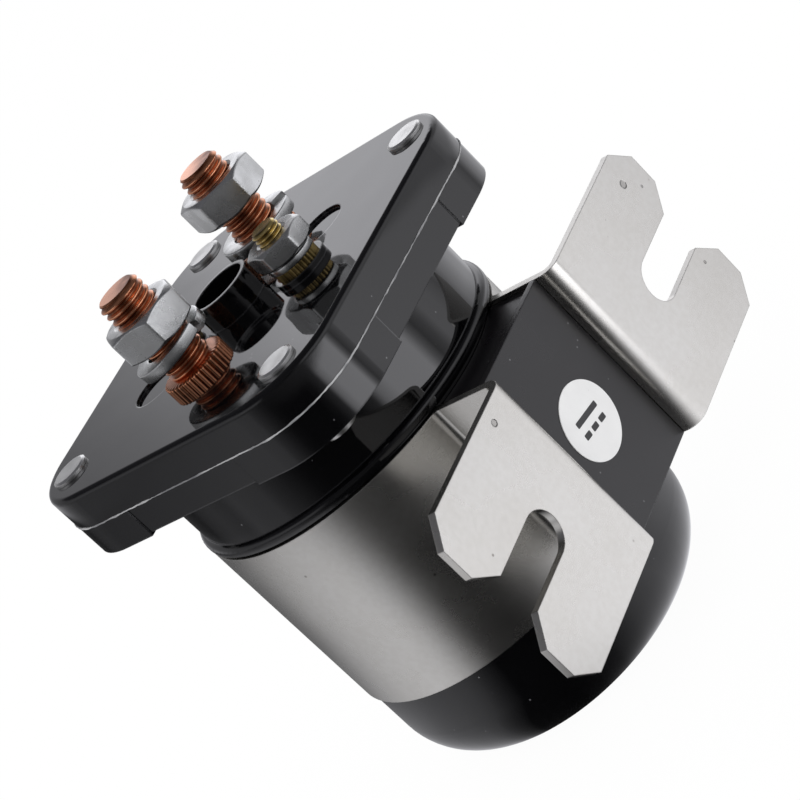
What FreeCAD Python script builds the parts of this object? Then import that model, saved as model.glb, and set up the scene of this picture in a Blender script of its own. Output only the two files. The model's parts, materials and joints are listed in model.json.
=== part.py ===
import FreeCAD, Part
import math
import os

import Sketcher

# Direct-current contactor with a strap bracket. The origin is the centre of the cup's flat base,
# +Z runs up the can to the terminals, and the bracket's ears stand on the -Y side.

doc = FreeCAD.newDocument("DirectCurrentContactor")

# Driving sizes in millimetres. Heights are measured up from the cup's base.
SIZES = {
    # Moulded lower cup
    "cup_radius": 30.3,
    "cup_bend": 11.9,
    "cup_wall": 1.6,
    "seat_clearance": 0.1,
    # Steel strap round the cup, with its two legs and ears
    "strap_bottom": 21.1,
    "strap_width": 35.5,
    "strap_sheet": 1.4,
    "strap_radius": 30.9,
    "leg_gap": 23.4,
    "ear_face": 42.1,
    "ear_reach": 43.8,
    "ear_bend": 2.9,
    "root_bend": 1.6,
    "slot_width": 7.9,
    "slot_centre": 28.4,
    "tip_chamfer": 4.0,
    # Black panel between the legs, and the round label on it
    "panel_setback": 3.7,
    "panel_sheet": 1.3,
    "panel_step": 0.8,
    "label_radius": 6.6,
    "label_side": 1.5,
    "label_drop": 1.3,
    "label_sheet": 0.15,
    # Moulded upper housing
    "lip_radius": 31.0,
    "lip_height": 2.6,
    "lip_round": 1.1,
    "housing_radius": 30.0,
    "housing_wall": 2.6,
    "housing_height": 13.4,
    "flange_width": 68.4,
    "flange_thick": 5.4,
    "corner_radius": 14.0,
    "pad_start": 13.3,
    "pad_proud": 0.25,
    "pad_drop": 0.5,
    "rod_opening": 8.0,
    # Moulded terminal cover
    "cover_thick": 6.2,
    "cover_round": 1.0,
    "cover_spigot": 1.0,
    "boss_radius": 5.7,
    "boss_bore": 4.9,
    "boss_height": 4.5,
    "boss_depth": 6.5,
    "dimple_radius": 4.7,
    "dimple_side": 12.0,
    "dimple_front": 13.0,
    "dimple_depth": 0.55,
    "coil_pad_radius": 4.8,
    "coil_pad_height": 1.1,
    # Rivets through the cover and the flange
    "rivet_spread": 26.2,
    "rivet_radius": 2.3,
    "rivet_head_radius": 3.35,
    "rivet_head": 0.75,
    "rivet_tail_radius": 3.6,
    "rivet_tail": 1.5,
    "rivet_hole_clearance": 0.1,
    # Copper main studs with their nuts and lock washers
    "main_spread": 15.0,
    "main_thread": 3.97,
    "main_height": 18.2,
    "main_tip": 0.8,
    "main_collar": 5.8,
    "main_collar_height": 1.7,
    "main_head": 6.6,
    "main_head_thick": 3.4,
    "main_nut_flats": 12.7,
    "main_nut_thick": 5.6,
    "main_nut_right": 9.2,
    "main_nut_left": 8.2,
    "main_nut_right_turn": 10.0,
    "main_nut_left_turn": 47.2,
    "main_washer_radius": 6.9,
    "main_washer_thick": 2.0,
    "main_washer_right": 2.9,
    "main_washer_left": 5.1,
    "main_washer_left_tilt": 4.2,
    "washer_bore_clearance": 0.26,
    "washer_split": 1.2,
    "thread_clearance": 0.06,
    # Brass coil studs with their nuts and lock washers
    "coil_spread": 16.5,
    "coil_thread": 2.4,
    "coil_height": 9.3,
    "coil_tip": 0.5,
    "coil_collar": 3.9,
    "coil_collar_height": 1.4,
    "coil_head": 4.2,
    "coil_head_thick": 2.0,
    "coil_tail": 1.4,
    "coil_tail_length": 1.9,
    "coil_nut_flats": 9.53,
    "coil_nut_thick": 3.5,
    "coil_nut_turn": 7.3,
    "coil_washer_radius": 4.2,
    "coil_washer_thick": 1.15,
    # Magnet: flux plates, shell, bobbin, winding, guide tube and fixed core
    "bumper_radius": 8.0,
    "bumper_thick": 2.0,
    "plate_thick": 2.5,
    "plate_radius": 27.7,
    "shell_radius": 27.6,
    "shell_wall": 1.4,
    "bobbin_flange": 25.8,
    "bobbin_wall": 1.2,
    "bobbin_end": 1.5,
    "winding_radius": 21.5,
    "tube_bore": 9.0,
    "tube_wall": 0.7,
    "core_length": 17.5,
    "core_neck": 6.0,
    "spring_pocket_radius": 6.2,
    "spring_pocket_depth": 10.0,
    # Moving plunger, rod and contact bridge
    "running_clearance": 0.08,
    "travel": 3.0,
    "end_gap": 0.5,
    "rod_radius": 2.5,
    "rod_neck": 2.0,
    "rod_socket": 8.0,
    "rod_end": 0.8,
    "seat_radius": 5.6,
    "seat_thick": 1.0,
    "contact_spring_length": 5.8,
    "bushing_flange": 5.4,
    "bushing_flange_thick": 1.0,
    "bushing_radius": 3.2,
    "bridge_length": 44.0,
    "bridge_width": 14.0,
    "bridge_thick": 2.5,
    "top_washer_radius": 5.0,
    "top_washer_thick": 0.8,
    "clip_radius": 4.2,
    "clip_thick": 0.8,
    "clip_groove": 1.6,
    "clip_mouth": 2.4,
    # Springs
    "return_spring_radius": 4.6,
    "return_spring_wire": 0.9,
    "return_spring_turns": 4.0,
    "contact_spring_radius": 4.3,
    "contact_spring_wire": 1.0,
    "contact_spring_turns": 2.5,
    # Leads from the winding to the coil studs
    "lead_radius": 0.7,
    "lead_clearance": 0.5,
}

# Heights and radii that follow from the driving sizes, in the order in which they build up.
LEVELS = {
    "rebate_radius": "=Sizes.strap_radius - Sizes.strap_sheet - Sizes.seat_clearance",
    "cup_inside": "=rebate_radius - Sizes.cup_wall",
    "cup_inner_bend": "=cup_inside - (Sizes.cup_radius - Sizes.cup_bend)",
    "cup_floor": "=Sizes.cup_bend - cup_inner_bend",
    "strap_top": "=Sizes.strap_bottom + Sizes.strap_width",
    "strap_middle": "=Sizes.strap_bottom + Sizes.strap_width / 2",
    "panel_face": "=Sizes.ear_face - Sizes.panel_setback",
    "floor_top": "=strap_top + Sizes.lip_height",
    "flange_bottom": "=strap_top + Sizes.housing_height",
    "flange_top": "=flange_bottom + Sizes.flange_thick",
    "chamber_radius": "=Sizes.housing_radius - Sizes.housing_wall",
    "cover_face": "=flange_top + Sizes.cover_thick",
    "coil_pad_top": "=cover_face + Sizes.coil_pad_height",
    "coil_collar_top": "=coil_pad_top + Sizes.coil_collar_height",
    "plate_bottom": "=Sizes.cup_bend + Sizes.seat_clearance",
    "shell_bottom": "=plate_bottom + Sizes.plate_thick",
    "upper_plate_top": "=strap_top - 6 * Sizes.seat_clearance",
    "shell_top": "=upper_plate_top - Sizes.plate_thick",
    "core_bottom": "=shell_top - Sizes.core_length",
    "tube_radius": "=Sizes.tube_bore + Sizes.tube_wall",
    "plunger_radius": "=Sizes.tube_bore - Sizes.running_clearance",
    "plunger_bottom": "=cup_floor + Sizes.bumper_thick + Sizes.seat_clearance",
    "plunger_top": "=core_bottom - Sizes.travel - Sizes.end_gap",
    "spring_roof": "=core_bottom + Sizes.spring_pocket_depth",
    "head_bottom": "=flange_top - Sizes.main_head_thick",
    "bridge_top": "=head_bottom - Sizes.travel",
    "bridge_bottom": "=bridge_top - Sizes.bridge_thick",
    "bushing_bottom": "=bridge_bottom - Sizes.bushing_flange_thick",
    "seat_top": "=bushing_bottom - Sizes.contact_spring_length",
    "seat_bottom": "=seat_top - Sizes.seat_thick",
    "clip_bottom": "=bridge_top + Sizes.top_washer_thick",
    "clip_top": "=clip_bottom + Sizes.clip_thick",
    "rod_top": "=clip_top + Sizes.rod_end",
    "coil_tail_bottom": "=flange_top - Sizes.coil_head_thick - Sizes.coil_tail_length",
}


def fill_sheets():
    sizes = doc.addObject("Spreadsheet::Sheet", "Sizes")
    for row, (alias, number) in enumerate(SIZES.items(), start=1):
        sizes.set(f"A{row}", alias)
        sizes.set(f"B{row}", str(number))
        sizes.setAlias(f"B{row}", alias)
    doc.recompute()
    levels = doc.addObject("Spreadsheet::Sheet", "Levels")
    for row, (alias, formula) in enumerate(LEVELS.items(), start=1):
        levels.set(f"A{row}", alias)
        levels.set(f"B{row}", formula)
        levels.setAlias(f"B{row}", alias)
        doc.recompute()
    return sizes, levels


sizes, levels = fill_sheets()


def number(alias):
    """Value of one cell, in millimetres or degrees."""
    sheet = sizes if alias in SIZES else levels
    return float(sheet.get(alias))


subparts = []


def new_body(name):
    body = doc.addObject("PartDesign::Body", name)
    body.Label = name
    subparts.append(body)
    return body


def origin_plane(body, role):
    return next(feature for feature in body.Origin.OriginFeatures if feature.Role == role)


def new_sketch(body, name, role="XY_Plane", height=None):
    sketch = body.newObject("Sketcher::SketchObject", f"{body.Name}_{name}")
    sketch.AttachmentSupport = (origin_plane(body, role), [""])
    sketch.MapMode = "FlatFace"
    if height:
        sketch.setExpression(".AttachmentOffset.Base.z", height)
    return sketch


def bind(sketch, kind, expression, *places):
    """Add one dimension between sketch points and tie it to an expression."""
    index = sketch.addConstraint(Sketcher.Constraint(kind, *places, 1.0))
    sketch.setExpression(f"Constraints[{index}]", expression)


def locate(sketch, item, point, across, up):
    """Fix one sketch point by its two distances from the sketch's origin."""
    if across == "0":
        sketch.addConstraint(Sketcher.Constraint("PointOnObject", item, point, -2))
    else:
        bind(sketch, "DistanceX", across, -1, 1, item, point)
    if up == "0":
        sketch.addConstraint(Sketcher.Constraint("PointOnObject", item, point, -1))
    else:
        bind(sketch, "DistanceY", up, -1, 1, item, point)


def circle(sketch, radius, across="0", up="0"):
    item = sketch.addGeometry(Part.Circle(FreeCAD.Vector(3, 2, 0), FreeCAD.Vector(0, 0, 1), 1))
    locate(sketch, item, 3, across, up)
    bind(sketch, "Radius", radius, item)


def outline(sketch, corners):
    """Closed outline of straight lines through corners given as pairs of expressions."""
    count = len(corners)
    rough = []
    for step in range(count):
        angle = 2 * math.pi * step / count
        rough.append(FreeCAD.Vector(40 + 5 * math.cos(angle), 30 + 5 * math.sin(angle), 0))
    items = []
    for step in range(count):
        line = Part.LineSegment(rough[step], rough[(step + 1) % count])
        items.append(sketch.addGeometry(line))
    for step in range(count):
        after = items[(step + 1) % count]
        sketch.addConstraint(Sketcher.Constraint("Coincident", items[step], 2, after, 1))
    for item, (across, up) in zip(items, corners):
        locate(sketch, item, 1, across, up)


def box_outline(sketch, left, right, low, high):
    outline(sketch, [(left, low), (right, low), (right, high), (left, high)])


def pad(body, sketch, length, down=False):
    feature = body.newObject("PartDesign::Pad", f"{sketch.Name}_Pad")
    feature.Profile = sketch
    feature.setExpression("Length", length)
    feature.Reversed = down
    body.Tip = feature
    return feature


def pocket(body, sketch, length, up=False):
    """Cut a sketch downwards from its plane, or upwards."""
    feature = body.newObject("PartDesign::Pocket", f"{sketch.Name}_Pocket")
    feature.Profile = sketch
    feature.setExpression("Length", length)
    feature.Reversed = up
    body.Tip = feature
    return feature


def turn(body, sketch, kind="Revolution"):
    """Revolve a sketch a full turn about its own vertical axis, adding or cutting."""
    feature = body.newObject(f"PartDesign::{kind}", f"{sketch.Name}_{kind}")
    feature.Profile = sketch
    feature.ReferenceAxis = (sketch, ["V_Axis"])
    feature.Angle = 360
    body.Tip = feature
    return feature


def around(body, feature, count):
    """Repeat one feature evenly about the vertical axis."""
    pattern = body.newObject("PartDesign::PolarPattern", f"{feature.Name}_Ring")
    pattern.Originals = [feature]
    pattern.Axis = (origin_plane(body, "Z_Axis"), [""])
    pattern.Angle = 360
    pattern.Occurrences = count
    body.Tip = pattern
    return pattern


def find_edges(feature, wanted):
    """Names of the feature's edges whose middle and direction pass the test."""
    doc.recompute()
    names = []
    for position, edge in enumerate(feature.Shape.Edges, start=1):
        box = edge.BoundBox
        if wanted(edge, box, box.Center):
            names.append(f"Edge{position}")
    if not names:
        raise RuntimeError(f"no edge found on {feature.Name}")
    return names


def dress(body, kind, feature, wanted, expression):
    """Fillet or Chamfer the wanted edges of the body's last feature."""
    names = find_edges(feature, wanted)
    dressed = body.newObject(f"PartDesign::{kind}", f"{feature.Name}_{kind}")
    dressed.Base = (feature, names)
    dressed.setExpression("Radius" if kind == "Fillet" else "Size", expression)
    body.Tip = dressed
    return dressed


def near(value, target, slack=0.02):
    return abs(value - target) < slack


def upright(box):
    return box.XLength < 0.01 and box.YLength < 0.01


def level(box):
    return box.ZLength < 0.01


def turned(name, profile):
    """A body made by one full turn of an outline given as (radius, height) expressions."""
    body = new_body(name)
    sketch = new_sketch(body, "Profile", "XZ_Plane")
    outline(sketch, profile)
    turn(body, sketch)
    return body


def place(body, across="0", along="0", up="0"):
    """Stand a body at a place given by expressions."""
    body.setExpression("Placement.Base.x", across)
    body.setExpression("Placement.Base.y", along)
    body.setExpression("Placement.Base.z", up)


# Corners of the rounded square, in order round the vertical axis, as signs of X and Y.
CORNERS = [(1, 1), (-1, 1), (-1, -1), (1, -1)]
# How far each leg reaches into the sleeve's sheet, as a share of the sheet.
LEG_ROOT_SHARE = 0.7
# Where a nut's trimming cone starts and ends, as shares of the nut's width across flats.
NUT_FACE_SHARE = 0.475
NUT_TRIM_SHARE = 0.625
NUT_TRIM_DEGREES = 30
# Sides of a spring wire's section.
WIRE_SIDES = 8


def signed(sign, expression):
    return expression if sign > 0 else f"-({expression})"


def square_pad(body, name, bottom, thick):
    """Rounded square plate that both the housing's flange and the cover share."""
    half = "Sizes.flange_width / 2"
    sketch = new_sketch(body, name, "XY_Plane", bottom)
    box_outline(sketch, f"-{half}", half, f"-{half}", half)
    plate = pad(body, sketch, thick)
    return dress(body, "Fillet", plate, lambda edge, box, middle: upright(box),
                 "Sizes.corner_radius")


def rivet_holes(body, top, depth):
    sketch = new_sketch(body, "RivetHoles", "XY_Plane", top)
    for side, front in CORNERS:
        circle(sketch, "Sizes.rivet_radius + Sizes.rivet_hole_clearance",
               signed(side, "Sizes.rivet_spread"), signed(front, "Sizes.rivet_spread"))
    pocket(body, sketch, depth)


def make_cup():
    """Deep round cup, stepped in where the strap wraps it."""
    body = new_body("lower_cup")
    base = new_sketch(body, "Base")
    circle(base, "Sizes.cup_radius")
    pad(body, base, "Sizes.strap_bottom")
    rebate = new_sketch(body, "Rebate", "XY_Plane", "Sizes.strap_bottom")
    circle(rebate, "Levels.rebate_radius")
    pad(body, rebate, "Sizes.strap_width - Sizes.seat_clearance")
    inside = new_sketch(body, "Inside", "XY_Plane", "Levels.strap_top")
    circle(inside, "Levels.cup_inside")
    hollow = pocket(body, inside, "Levels.strap_top - Levels.cup_floor")
    floor = dress(body, "Fillet", hollow,
                  lambda edge, box, middle: level(box) and near(middle.z, number("cup_floor")),
                  "Levels.cup_inner_bend - Sizes.seat_clearance")
    dress(body, "Fillet", floor, lambda edge, box, middle: level(box) and near(middle.z, 0),
          "Sizes.cup_bend")
    return body


def make_bracket():
    """One strip of steel: a sleeve round the cup, two legs and two slotted ears."""
    body = new_body("mounting_bracket")
    foot = "Sizes.strap_bottom"
    tall = "Sizes.strap_width"
    leg_inner = "Sizes.leg_gap / 2"
    leg_outer = "Sizes.leg_gap / 2 + Sizes.strap_sheet"
    ring = new_sketch(body, "Sleeve", "XY_Plane", foot)
    circle(ring, "Sizes.strap_radius")
    circle(ring, "Sizes.strap_radius - Sizes.strap_sheet")
    pad(body, ring, tall)
    window = new_sketch(body, "Window", "XY_Plane", foot)
    box_outline(window, f"-({leg_inner})", leg_inner,
                "-Sizes.strap_radius - Sizes.strap_sheet", "0")
    pocket(body, window, tall, up=True)
    # The leg starts inside the sleeve's own sheet, so the two join without a step.
    root = ("-(sqrt(pow(Sizes.strap_radius; 2) - pow(Sizes.leg_gap / 2; 2))"
            f" - Sizes.strap_sheet * {LEG_ROOT_SHARE})")
    for side, name in ((1, "Right"), (-1, "Left")):
        strip = new_sketch(body, f"{name}Leg", "XY_Plane", foot)
        inner = signed(side, leg_inner)
        outer = signed(side, leg_outer)
        tip = signed(side, "Sizes.ear_reach")
        outline(strip, [(inner, root), (outer, root),
                        (outer, "-Sizes.ear_face + Sizes.strap_sheet"),
                        (tip, "-Sizes.ear_face + Sizes.strap_sheet"),
                        (tip, "-Sizes.ear_face"), (inner, "-Sizes.ear_face")])
        legs = pad(body, strip, tall)
    inner = number("leg_gap") / 2
    outer = inner + number("strap_sheet")
    face = number("ear_face")
    back = face - number("strap_sheet")
    outer_bend = dress(body, "Fillet", legs,
                       lambda edge, box, middle: upright(box) and near(abs(middle.x), inner)
                       and near(middle.y, -face), "Sizes.ear_bend")
    inner_bend = dress(body, "Fillet", outer_bend,
                       lambda edge, box, middle: upright(box) and near(abs(middle.x), outer)
                       and near(middle.y, -back), "Sizes.ear_bend - Sizes.strap_sheet")
    meet = -math.sqrt(number("strap_radius") ** 2 - outer ** 2)
    root_bend = dress(body, "Fillet", inner_bend,
                      lambda edge, box, middle: upright(box) and near(abs(middle.x), outer)
                      and near(middle.y, meet), "Sizes.root_bend")
    # Each slot is a round inner end and a straight mouth that is open at the ear's tip.
    for label, drawn in (("SlotEnds", slot_end), ("SlotMouths", slot_mouth)):
        slots = new_sketch(body, label, "XZ_Plane", "Sizes.ear_face + Sizes.strap_sheet")
        for side in (1, -1):
            drawn(slots, side)
        cut = pocket(body, slots, "3 * Sizes.strap_sheet")
    tip = number("ear_reach")
    dress(body, "Chamfer", cut,
          lambda edge, box, middle: box.XLength < 0.01 and level(box)
          and near(abs(middle.x), tip), "Sizes.tip_chamfer")
    return body


def slot_end(sketch, side):
    circle(sketch, "Sizes.slot_width / 2", signed(side, "Sizes.slot_centre"), "Levels.strap_middle")


def slot_mouth(sketch, side):
    ends = [signed(side, "Sizes.slot_centre"), signed(side, "Sizes.ear_reach + Sizes.strap_sheet")]
    half = "Sizes.slot_width / 2"
    box_outline(sketch, ends[0], ends[1], f"Levels.strap_middle - {half}",
                f"Levels.strap_middle + {half}")


def make_panel():
    """Black block between the legs: a face sheet, and a body behind it that seats on the cup."""
    body = new_body("front_panel")
    side = "(Sizes.leg_gap / 2 - Sizes.seat_clearance)"
    sheet_back = "-Levels.panel_face + Sizes.panel_sheet"
    face = new_sketch(body, "Face", "XY_Plane", "Sizes.strap_bottom")
    box_outline(face, f"-{side}", side, "-Levels.panel_face", sheet_back)
    pad(body, face, "Sizes.strap_width")
    block = new_sketch(body, "Block", "XY_Plane", "Sizes.strap_bottom + Sizes.panel_step")
    box_outline(block, f"-{side}", side, sheet_back, "-Levels.cup_inside")
    pad(body, block, "Sizes.strap_width - 2 * Sizes.panel_step")
    seat = new_sketch(body, "Seat", "XY_Plane", "Sizes.strap_bottom")
    circle(seat, "Levels.rebate_radius + Sizes.seat_clearance")
    pocket(body, seat, "Sizes.strap_width", up=True)
    return body


def make_label():
    """Thin round label on the panel."""
    body = new_body("round_label")
    disc = new_sketch(body, "Disc", "XZ_Plane", "Levels.panel_face")
    circle(disc, "Sizes.label_radius", "-Sizes.label_side", "Levels.strap_middle - Sizes.label_drop")
    pad(body, disc, "Sizes.label_sheet")
    return body


def make_housing():
    """Upper housing: lip on the strap, round wall, square flange, contact chamber inside."""
    body = new_body("coil_housing")
    lip = new_sketch(body, "Lip", "XY_Plane", "Levels.strap_top")
    circle(lip, "Sizes.lip_radius")
    ring = pad(body, lip, "Sizes.lip_height")
    top, bottom = number("floor_top"), number("strap_top")
    dress(body, "Fillet", ring,
          lambda edge, box, middle: level(box) and (near(middle.z, top) or near(middle.z, bottom)),
          "Sizes.lip_round")
    wall = new_sketch(body, "Wall", "XY_Plane", "Levels.strap_top")
    circle(wall, "Sizes.housing_radius")
    pad(body, wall, "Sizes.housing_height")
    spigot = new_sketch(body, "Spigot", "XY_Plane", "Levels.strap_top")
    circle(spigot, "Sizes.plate_radius")
    pad(body, spigot, "Levels.strap_top - Levels.upper_plate_top - Sizes.seat_clearance", down=True)
    square_pad(body, "Flange", "Levels.flange_bottom - Sizes.pad_drop",
               "Sizes.flange_thick + Sizes.pad_drop")
    # Between the corner pads the flange is set in a little, and its underside is higher.
    edge = "Sizes.flange_width / 2"
    inset = new_sketch(body, "Inset", "XY_Plane", "Levels.flange_bottom - Sizes.pad_drop")
    box_outline(inset, "-Sizes.pad_start", "Sizes.pad_start",
                f"-{edge} - Sizes.pad_proud", f"-{edge} + Sizes.pad_proud")
    around(body, pocket(body, inset, "Sizes.flange_thick + Sizes.pad_drop", up=True), 4)
    under = new_sketch(body, "Underside", "XY_Plane", "Levels.flange_bottom - Sizes.pad_drop")
    box_outline(under, "-Sizes.pad_start", "Sizes.pad_start",
                f"-{edge} - Sizes.pad_proud", "-Sizes.housing_radius + Sizes.pad_proud")
    around(body, pocket(body, under, "Sizes.pad_drop", up=True), 4)
    refill = new_sketch(body, "WallAgain", "XY_Plane", "Levels.floor_top")
    circle(refill, "Sizes.housing_radius")
    pad(body, refill, "Levels.flange_bottom - Levels.floor_top")
    chamber = new_sketch(body, "Chamber", "XY_Plane", "Levels.flange_top")
    circle(chamber, "Levels.chamber_radius")
    pocket(body, chamber, "Levels.flange_top - Levels.floor_top")
    openings = new_sketch(body, "FloorHoles", "XY_Plane", "Levels.floor_top")
    circle(openings, "Sizes.rod_opening")
    for side in (1, -1):
        circle(openings, "Sizes.lead_radius + Sizes.lead_clearance",
               "0", signed(side, "Sizes.coil_spread"))
    pocket(body, openings, "Sizes.lip_height + Levels.strap_top - Levels.upper_plate_top")
    rivet_holes(body, "Levels.flange_top", "Sizes.flange_thick + Sizes.pad_drop")
    return body


def make_cover():
    """Terminal cover: a rounded square plate with a hollow boss, pads and shallow round dimples."""
    body = new_body("terminal_cover")
    plate = square_pad(body, "Plate", "Levels.flange_top", "Sizes.cover_thick")
    face = number("cover_face")
    dress(body, "Fillet", plate,
          lambda edge, box, middle: level(box) and near(middle.z, face), "Sizes.cover_round")
    spigot = new_sketch(body, "Spigot", "XY_Plane", "Levels.flange_top")
    circle(spigot, "Levels.chamber_radius - Sizes.seat_clearance")
    circle(spigot, "Levels.chamber_radius - Sizes.housing_wall")
    pad(body, spigot, "Sizes.cover_spigot", down=True)
    boss = new_sketch(body, "Boss", "XY_Plane", "Levels.cover_face")
    circle(boss, "Sizes.boss_radius")
    pad(body, boss, "Sizes.boss_height")
    coil_pads = new_sketch(body, "CoilPads", "XY_Plane", "Levels.cover_face")
    for side in (1, -1):
        circle(coil_pads, "Sizes.coil_pad_radius", "0", signed(side, "Sizes.coil_spread"))
    pad(body, coil_pads, "Sizes.coil_pad_height")
    bore = new_sketch(body, "BossBore", "XY_Plane", "Levels.cover_face + Sizes.boss_height")
    circle(bore, "Sizes.boss_bore")
    pocket(body, bore, "Sizes.boss_depth")
    dimples = new_sketch(body, "Dimples", "XY_Plane", "Levels.cover_face")
    for side, front in CORNERS:
        circle(dimples, "Sizes.dimple_radius", signed(side, "Sizes.dimple_side"),
               signed(front, "Sizes.dimple_front"))
    pocket(body, dimples, "Sizes.dimple_depth")
    studs = new_sketch(body, "StudHoles", "XY_Plane", "Levels.coil_pad_top")
    for side in (1, -1):
        circle(studs, "Sizes.main_thread", signed(side, "Sizes.main_spread"))
        circle(studs, "Sizes.coil_thread", "0", signed(side, "Sizes.coil_spread"))
    pocket(body, studs, "Sizes.cover_thick + Sizes.coil_pad_height")
    rivet_holes(body, "Levels.cover_face", "Sizes.cover_thick")
    return body


def make_rivet(name, side, front):
    """Rivet with a flat round head on the cover and a set tail under the flange."""
    low = "(Levels.flange_bottom - Sizes.pad_drop)"
    top = "Levels.cover_face"
    edge = "Sizes.rivet_head / 3"
    body = turned(name, [
        ("0", f"{low} - Sizes.rivet_tail"),
        ("Sizes.rivet_tail_radius - Sizes.rivet_tail / 2", f"{low} - Sizes.rivet_tail"),
        ("Sizes.rivet_tail_radius", f"{low} - Sizes.rivet_tail / 3"),
        ("Sizes.rivet_tail_radius", low),
        ("Sizes.rivet_radius", low),
        ("Sizes.rivet_radius", top),
        ("Sizes.rivet_head_radius", top),
        ("Sizes.rivet_head_radius", f"{top} + Sizes.rivet_head - {edge}"),
        ("Sizes.rivet_head_radius - 2 * " + edge, f"{top} + Sizes.rivet_head"),
        ("0", f"{top} + Sizes.rivet_head"),
    ])
    place(body, signed(side, "Sizes.rivet_spread"), signed(front, "Sizes.rivet_spread"))


def make_main_stud(name, side):
    """Copper stud moulded into the cover, with a contact head inside and a collar outside."""
    face = "Levels.cover_face"
    thread = "Sizes.main_thread"
    body = turned(name, [
        ("0", "Levels.head_bottom"),
        ("Sizes.main_head", "Levels.head_bottom"),
        ("Sizes.main_head", "Levels.flange_top"),
        (thread, "Levels.flange_top"),
        (thread, face),
        ("Sizes.main_collar", face),
        ("Sizes.main_collar", f"{face} + Sizes.main_collar_height"),
        (thread, f"{face} + Sizes.main_collar_height"),
        (thread, f"{face} + Sizes.main_height - Sizes.main_tip"),
        (f"{thread} - Sizes.main_tip", f"{face} + Sizes.main_height"),
        ("0", f"{face} + Sizes.main_height"),
    ])
    place(body, signed(side, "Sizes.main_spread"))


def make_coil_stud(name, side):
    """Brass stud for one end of the winding, with a flat head and a tail inside the chamber."""
    face = "Levels.cover_face"
    thread = "Sizes.coil_thread"
    head_low = "Levels.flange_top - Sizes.coil_head_thick"
    body = turned(name, [
        ("0", "Levels.coil_tail_bottom"),
        ("Sizes.coil_tail", "Levels.coil_tail_bottom"),
        ("Sizes.coil_tail", head_low),
        ("Sizes.coil_head", head_low),
        ("Sizes.coil_head", "Levels.flange_top"),
        (thread, "Levels.flange_top"),
        (thread, "Levels.coil_pad_top"),
        ("Sizes.coil_collar", "Levels.coil_pad_top"),
        ("Sizes.coil_collar", "Levels.coil_collar_top"),
        (thread, "Levels.coil_collar_top"),
        (thread, f"{face} + Sizes.coil_height - Sizes.coil_tip"),
        (f"{thread} - Sizes.coil_tip", f"{face} + Sizes.coil_height"),
        ("0", f"{face} + Sizes.coil_height"),
    ])
    place(body, "0", signed(side, "Sizes.coil_spread"))


def make_nut(name, flats, thick, bore, turn_angle, across, along, up):
    """Hexagon nut with its corners turned off at both faces."""
    body = new_body(name)
    corner = f"({flats} / sqrt(3))"
    hexagon = new_sketch(body, "Hexagon")
    corners = []
    for step in range(6):
        corners.append((f"{corner} * cos({60 * step} deg)", f"{corner} * sin({60 * step} deg)"))
    corners[0] = (corner, "0")
    corners[3] = (f"-{corner}", "0")
    outline(hexagon, corners)
    pad(body, hexagon, thick)
    hole = new_sketch(body, "Thread")
    circle(hole, bore)
    pocket(body, hole, thick, up=True)
    # A shallow cone trims the six corners at each face.
    start = f"{flats} * {NUT_FACE_SHARE}"
    end = f"{flats} * {NUT_TRIM_SHARE}"
    drop = f"({end} - {start}) * tan({NUT_TRIM_DEGREES} deg)"
    for label, face, height in (("TopTrim", thick, f"{thick} - {drop}"), ("BottomTrim", "0", drop)):
        trim = new_sketch(body, label, "XZ_Plane")
        outline(trim, [(start, face), (end, face), (end, height)])
        turn(body, trim, "Groove")
    place(body, across, along, up)
    body.setExpression("Placement.Rotation.Yaw", turn_angle)


def make_lock_washer(name, radius, bore, thick, across, along, up, tilt=None):
    """Split spring washer."""
    body = new_body(name)
    ring = new_sketch(body, "Ring")
    circle(ring, radius)
    circle(ring, bore)
    pad(body, ring, thick)
    gap = new_sketch(body, "Split")
    half = "Sizes.washer_split / 2"
    box_outline(gap, "0", f"{radius} + Sizes.washer_split", f"-{half}", half)
    pocket(body, gap, thick, up=True)
    place(body, across, along, up)
    if tilt:
        body.setExpression("Placement.Rotation.Roll", f"-{tilt}")
        body.setExpression("Placement.Rotation.Pitch", f"-{tilt}")


def make_fasteners():
    face = "Levels.cover_face"
    for (side, front), name in zip(CORNERS, ("back_right", "back_left", "front_left", "front_right")):
        make_rivet(f"cover_rivet_{name}", side, front)
    for side, name in ((1, "right"), (-1, "left")):
        across = signed(side, "Sizes.main_spread")
        make_main_stud(f"main_stud_{name}", side)
        make_lock_washer(f"main_lock_washer_{name}", "Sizes.main_washer_radius",
                         "Sizes.main_thread + Sizes.washer_bore_clearance",
                         "Sizes.main_washer_thick", across, "0",
                         f"{face} + Sizes.main_washer_{name}",
                         "Sizes.main_washer_left_tilt" if side < 0 else None)
        make_nut(f"main_nut_{name}", "Sizes.main_nut_flats", "Sizes.main_nut_thick",
                 "Sizes.main_thread + Sizes.thread_clearance", f"Sizes.main_nut_{name}_turn",
                 across, "0", f"{face} + Sizes.main_nut_{name}")
    for side, name in ((-1, "front"), (1, "back")):
        along = signed(side, "Sizes.coil_spread")
        make_coil_stud(f"coil_stud_{name}", side)
        make_lock_washer(f"coil_lock_washer_{name}", "Sizes.coil_washer_radius",
                         "Sizes.coil_thread + Sizes.washer_bore_clearance / 2",
                         "Sizes.coil_washer_thick", "0", along, "Levels.coil_collar_top")
        make_nut(f"coil_nut_{name}", "Sizes.coil_nut_flats", "Sizes.coil_nut_thick",
                 "Sizes.coil_thread + Sizes.thread_clearance", "Sizes.coil_nut_turn", "0", along,
                 "Levels.coil_collar_top + Sizes.coil_washer_thick + Sizes.seat_clearance")


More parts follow.
